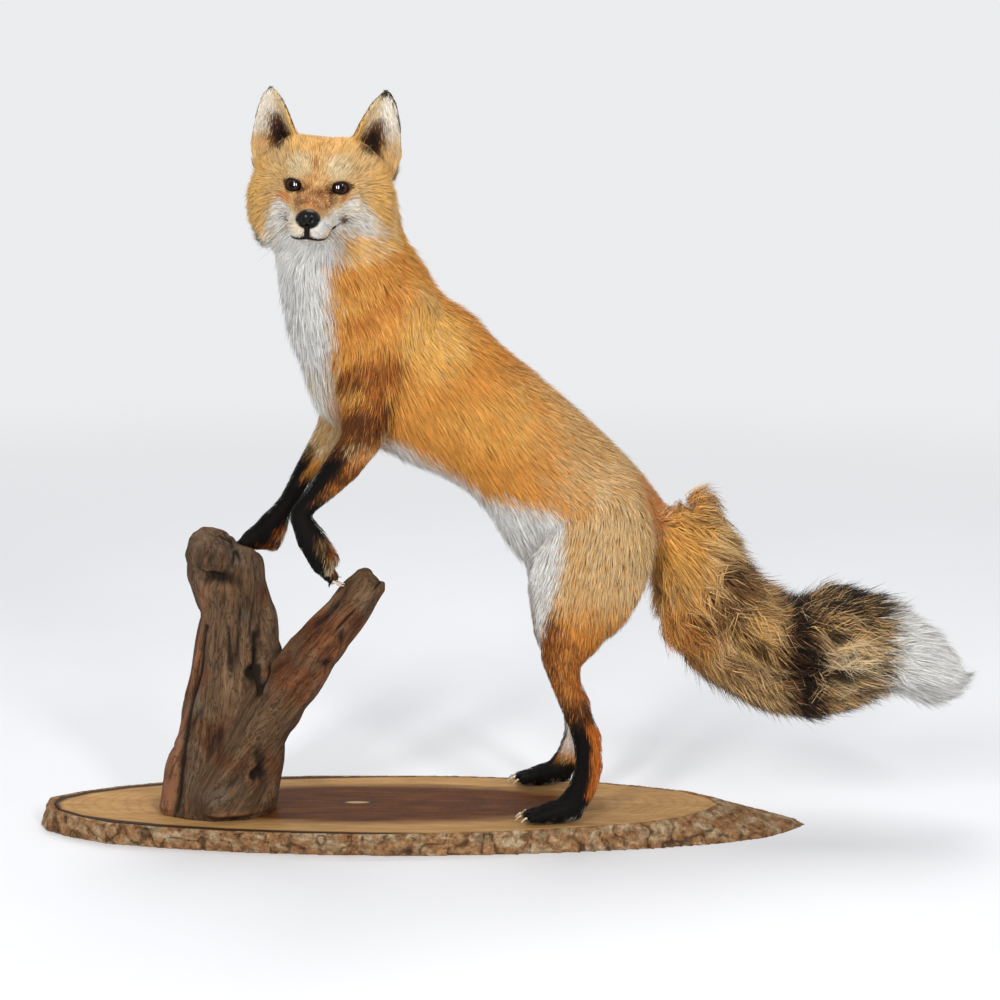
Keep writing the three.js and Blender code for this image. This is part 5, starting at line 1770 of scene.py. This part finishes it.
def make_driftwood():
    names = ("driftwood_stem", "driftwood_branch")
    mesh = remeshed(joined_copies(names, {}), WOOD_CELL)
    surface = Surface(mesh)
    surface.relax(6, np.full(len(surface.points), 0.8))
    points = surface.points
    owner = nearest_nodes(points, names).astype(float)
    flat = points[:, (0, 2)] / MM + 5 * value_noise(points, 0.04, 4)[:, None]
    in_front = ramp(points[:, 1] / MM, -8, -30)
    on_root = in_front * ramp(distance_to_segment(flat, ROOT), 1.5 * ROOT_WIDE, 0.5 * ROOT_WIDE)
    on_branch = np.maximum(surface.spread(owner, 30), on_root)[:, None]
    low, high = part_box("driftwood_branch")
    branch_way = unit(np.array(high - low) * (1, 0, 1))
    stem_grain = stretched(points, (0.08, 0, 1), 0.13)
    branch_grain = stretched(points, branch_way, 0.13)
    long_grain = stretched(points, (0.08, 0, 1), 0.05), stretched(points, branch_way, 0.05)
    normals = surface.normals()

    def grained(cell, seed, ways=(stem_grain, branch_grain)):
        first, second = value_noise(ways[0], cell, seed), value_noise(ways[1], cell, seed)
        return first * (1 - on_branch[:, 0]) + second * on_branch[:, 0]

    cracks = groove(grained(0.013, 5, long_grain), 0.2) * ramp(value_noise(points, 0.035, 6), -0.1, 0.5)
    seam = in_front * groove(distance_to_segment(flat, SEAM), SEAM_WIDE)
    cracks = np.maximum(cracks, seam)
    small = groove(grained(0.007, 8, long_grain), 0.3) * ramp(value_noise(points, 0.03, 9), -0.2, 0.4)
    ridges = 1 - np.abs(grained(0.020, 12)) * 2
    move = 2.8 * value_noise(points, 0.032, 1) + 2.2 * grained(0.014, 2)
    move = move + 1.5 * ridges + 0.9 * grained(0.005, 3)
    move += in_front * ROOT_HIGH * groove(distance_to_segment(flat, ROOT), ROOT_WIDE)
    for centre, radii, height in WOOD_SWELLS:
        move += height * mound(points / MM, centre, radii)
    move -= 3.0 * cracks + 1.2 * small
    hollow = np.zeros(len(points))
    wobbly = points / MM + 7 * np.stack([value_noise(points, 0.016, k) for k in (14, 15, 16)], axis=1)
    for centre, radii, depth in WOOD_HOLLOWS:
        hollow += depth * mound(wobbly, centre, radii)
    (top_x, top_z), (low_x, low_z) = SEAM
    beside = (low_x - top_x) * (flat[:, 1] - top_z) / (low_z - top_z) + top_x - flat[:, 0]
    strip = in_front * ramp(beside, 0, 5) * ramp(flat[:, 1], top_z + 60, top_z + 20)
    move += 2.5 * strip
    foot = ramp(points[:, 2] / MM, 27.5, 34)
    move = (move - hollow) * foot
    surface.points += normals * (move * MM)[:, None]
    set_points(mesh, surface.points)
    mesh.update()
    sunk = surface.spread(move, 10) - move
    # painted shade: darker in the cracks, hollows and pits
    store(mesh, "dip", np.clip(0.6 * cracks + 0.25 * small + 0.055 * hollow + 0.2 * sunk, 0, 1), "FLOAT")
    store(mesh, "strip", strip, "FLOAT")
    # paler on the ridges: partly wear, partly painted highlight
    store(mesh, "worn", np.clip(-0.35 * sunk, 0, 1) * ramp(cracks, 0.3, 0.0), "FLOAT")
    grain = stem_grain * (1 - on_branch) + branch_grain * on_branch
    store(mesh, "grain", grain)
    finished("driftwood", mesh, driftwood_material(), *names, slot="driftwood")


def slice_outline():
    """Middle and half sizes of the slice of log, seen from above."""
    low, high = (np.array(corner)[:2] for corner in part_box("slab_wood"))
    return (high + low) / 2, (high - low) / 2


def make_bark():
    mesh = remeshed(joined_copies(("slab_bark",), {"slab_bark": 0.0}), BARK_CELL)
    surface = Surface(mesh)
    normals = surface.normals()
    points = surface.points
    centre, half = slice_outline()
    outward = ((points[:, :2] - centre) / half**2 * normals[:, :2]).sum(axis=1)
    outer = ramp(outward * half.min(), -0.05, 0.5)
    plates = value_noise(points * (1, 1, 1.6), 0.011, 21)
    cracks = groove(value_noise(points * (1, 1, 0.8), 0.013, 22), 0.12)
    rough = value_noise(points, 0.005, 23)
    deep = (1.4 * plates + 0.8 * rough - 2.2 * cracks - 1.2) * outer
    surface.points += normals * (deep * MM)[:, None]
    surface.points[:, 2] = np.maximum(surface.points[:, 2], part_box("slab_bark")[0][2])
    set_points(mesh, surface.points)
    mesh.update()
    # painted shade in the bark's cracks; the faces that don't face outward are made darker too
    store(mesh, "dip", np.clip(cracks * outer + 0.4 * (1 - outer), 0, 1), "FLOAT")
    finished("bark_ring", mesh, bark_material(), "slab_bark", slot="bark")


def make_slice():
    """The slice of log with a softened upper edge; rim is 1 at its outline."""
    mesh = joined_copies(("slab_wood",), {"slab_wood": 0.0})
    shape = bmesh.new()
    shape.from_mesh(mesh)
    bmesh.ops.dissolve_limit(shape, angle_limit=math.radians(1), verts=shape.verts, edges=shape.edges)
    sharp = [e for e in shape.edges if e.is_manifold and e.calc_face_angle() > math.radians(30)]
    bmesh.ops.bevel(shape, geom=sharp, offset=0.8 * MM, segments=2, profile=0.5, affect="EDGES", material=-1)
    flats = [f for f in shape.faces if abs(f.normal.z) > 0.99 and f.calc_area() > 0.01]
    for distance in (2.5, 2.5, 6.0):
        bmesh.ops.inset_region(shape, faces=flats, thickness=distance * MM, use_even_offset=True)
    bmesh.ops.triangulate(shape, faces=shape.faces)
    shape.to_mesh(mesh)
    shape.free()
    points = points_of(mesh)
    centre, half = slice_outline()
    out = np.linalg.norm((points[:, :2] - centre) / half, axis=1)
    store(mesh, "rim", ramp(out, 0.955, 0.99), "FLOAT")
    piece = finished("log_slice", mesh, slice_material(), "slab_wood", slot="slab_timber")
    for face in piece.data.polygons:
        face.use_smooth = False


# ================================================================ studio
def make_studio():
    scene = bpy.context.scene
    camera = bpy.data.objects.new("camera", bpy.data.cameras.new("camera"))
    camera.location = CAMERA_AT
    camera.rotation_euler = (math.radians(CAMERA_PITCH), 0, 0)
    camera.data.lens = CAMERA_LENS
    camera.data.sensor_width = CAMERA_SENSOR
    scene.collection.objects.link(camera)
    scene.camera = camera
    grid = bmesh.new()
    bmesh.ops.create_grid(grid, x_segments=1, y_segments=1, size=FLOOR_HALF)
    mesh = mesh_of(grid, "floor")
    mesh.materials.append(floor_material())
    floor = new_object("floor", mesh)
    eyes_only = bpy.data.collections.new("glass_eyes")
    for name, place, size, power in LAMPS + EYE_LAMPS:
        lamp = bpy.data.lights.new(name, "AREA")
        lamp.shape = "RECTANGLE"
        lamp.size, lamp.size_y = size
        lamp.energy = power
        holder = bpy.data.objects.new(name, lamp)
        holder.location = place
        aim = Vector(LAMPS_AIM) - Vector(place)
        holder.rotation_euler = aim.to_track_quat("-Z", "Y").to_euler()
        scene.collection.objects.link(holder)
        if name.startswith("catchlight"):
            holder.light_linking.receiver_collection = eyes_only
            holder.visible_diffuse = False
    world = bpy.data.worlds.new("studio")
    scene.world = world
    world.use_nodes = True
    world.node_tree.nodes.clear()
    shades = Shades(world.node_tree)
    light = shades.put("LightPath").outputs
    seen = shades.math("MAXIMUM", light["Is Camera Ray"], light["Is Glossy Ray"])
    seen = shades.math("MAXIMUM", seen, light["Is Transmission Ray"])
    strength = shades.math("MULTIPLY_ADD", seen, ROOM_BRIGHT - ROOM_LIGHT, ROOM_LIGHT)
    back = shades.put("Background", {"Color": ROOM_COLOUR, "Strength": strength})
    out = shades.put("OutputWorld")
    world.node_tree.links.new(back.outputs[0], out.inputs[0])
    scene.view_settings.view_transform = "Standard"


def main():
    make_studio()
    make_slice()
    make_bark()
    make_driftwood()
    skin, surface, owner, outer = make_skin()
    skin.data.materials.append(skin_material())
    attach(skin, "root")
    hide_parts(*FLESH)
    make_eyes()
    make_lids()
    make_nose()
    tree = search_tree(surface.points, surface.triangles)
    make_lips(tree)
    make_whiskers(tree)
    make_claws()
    make_coat(surface, owner, outer)


main()
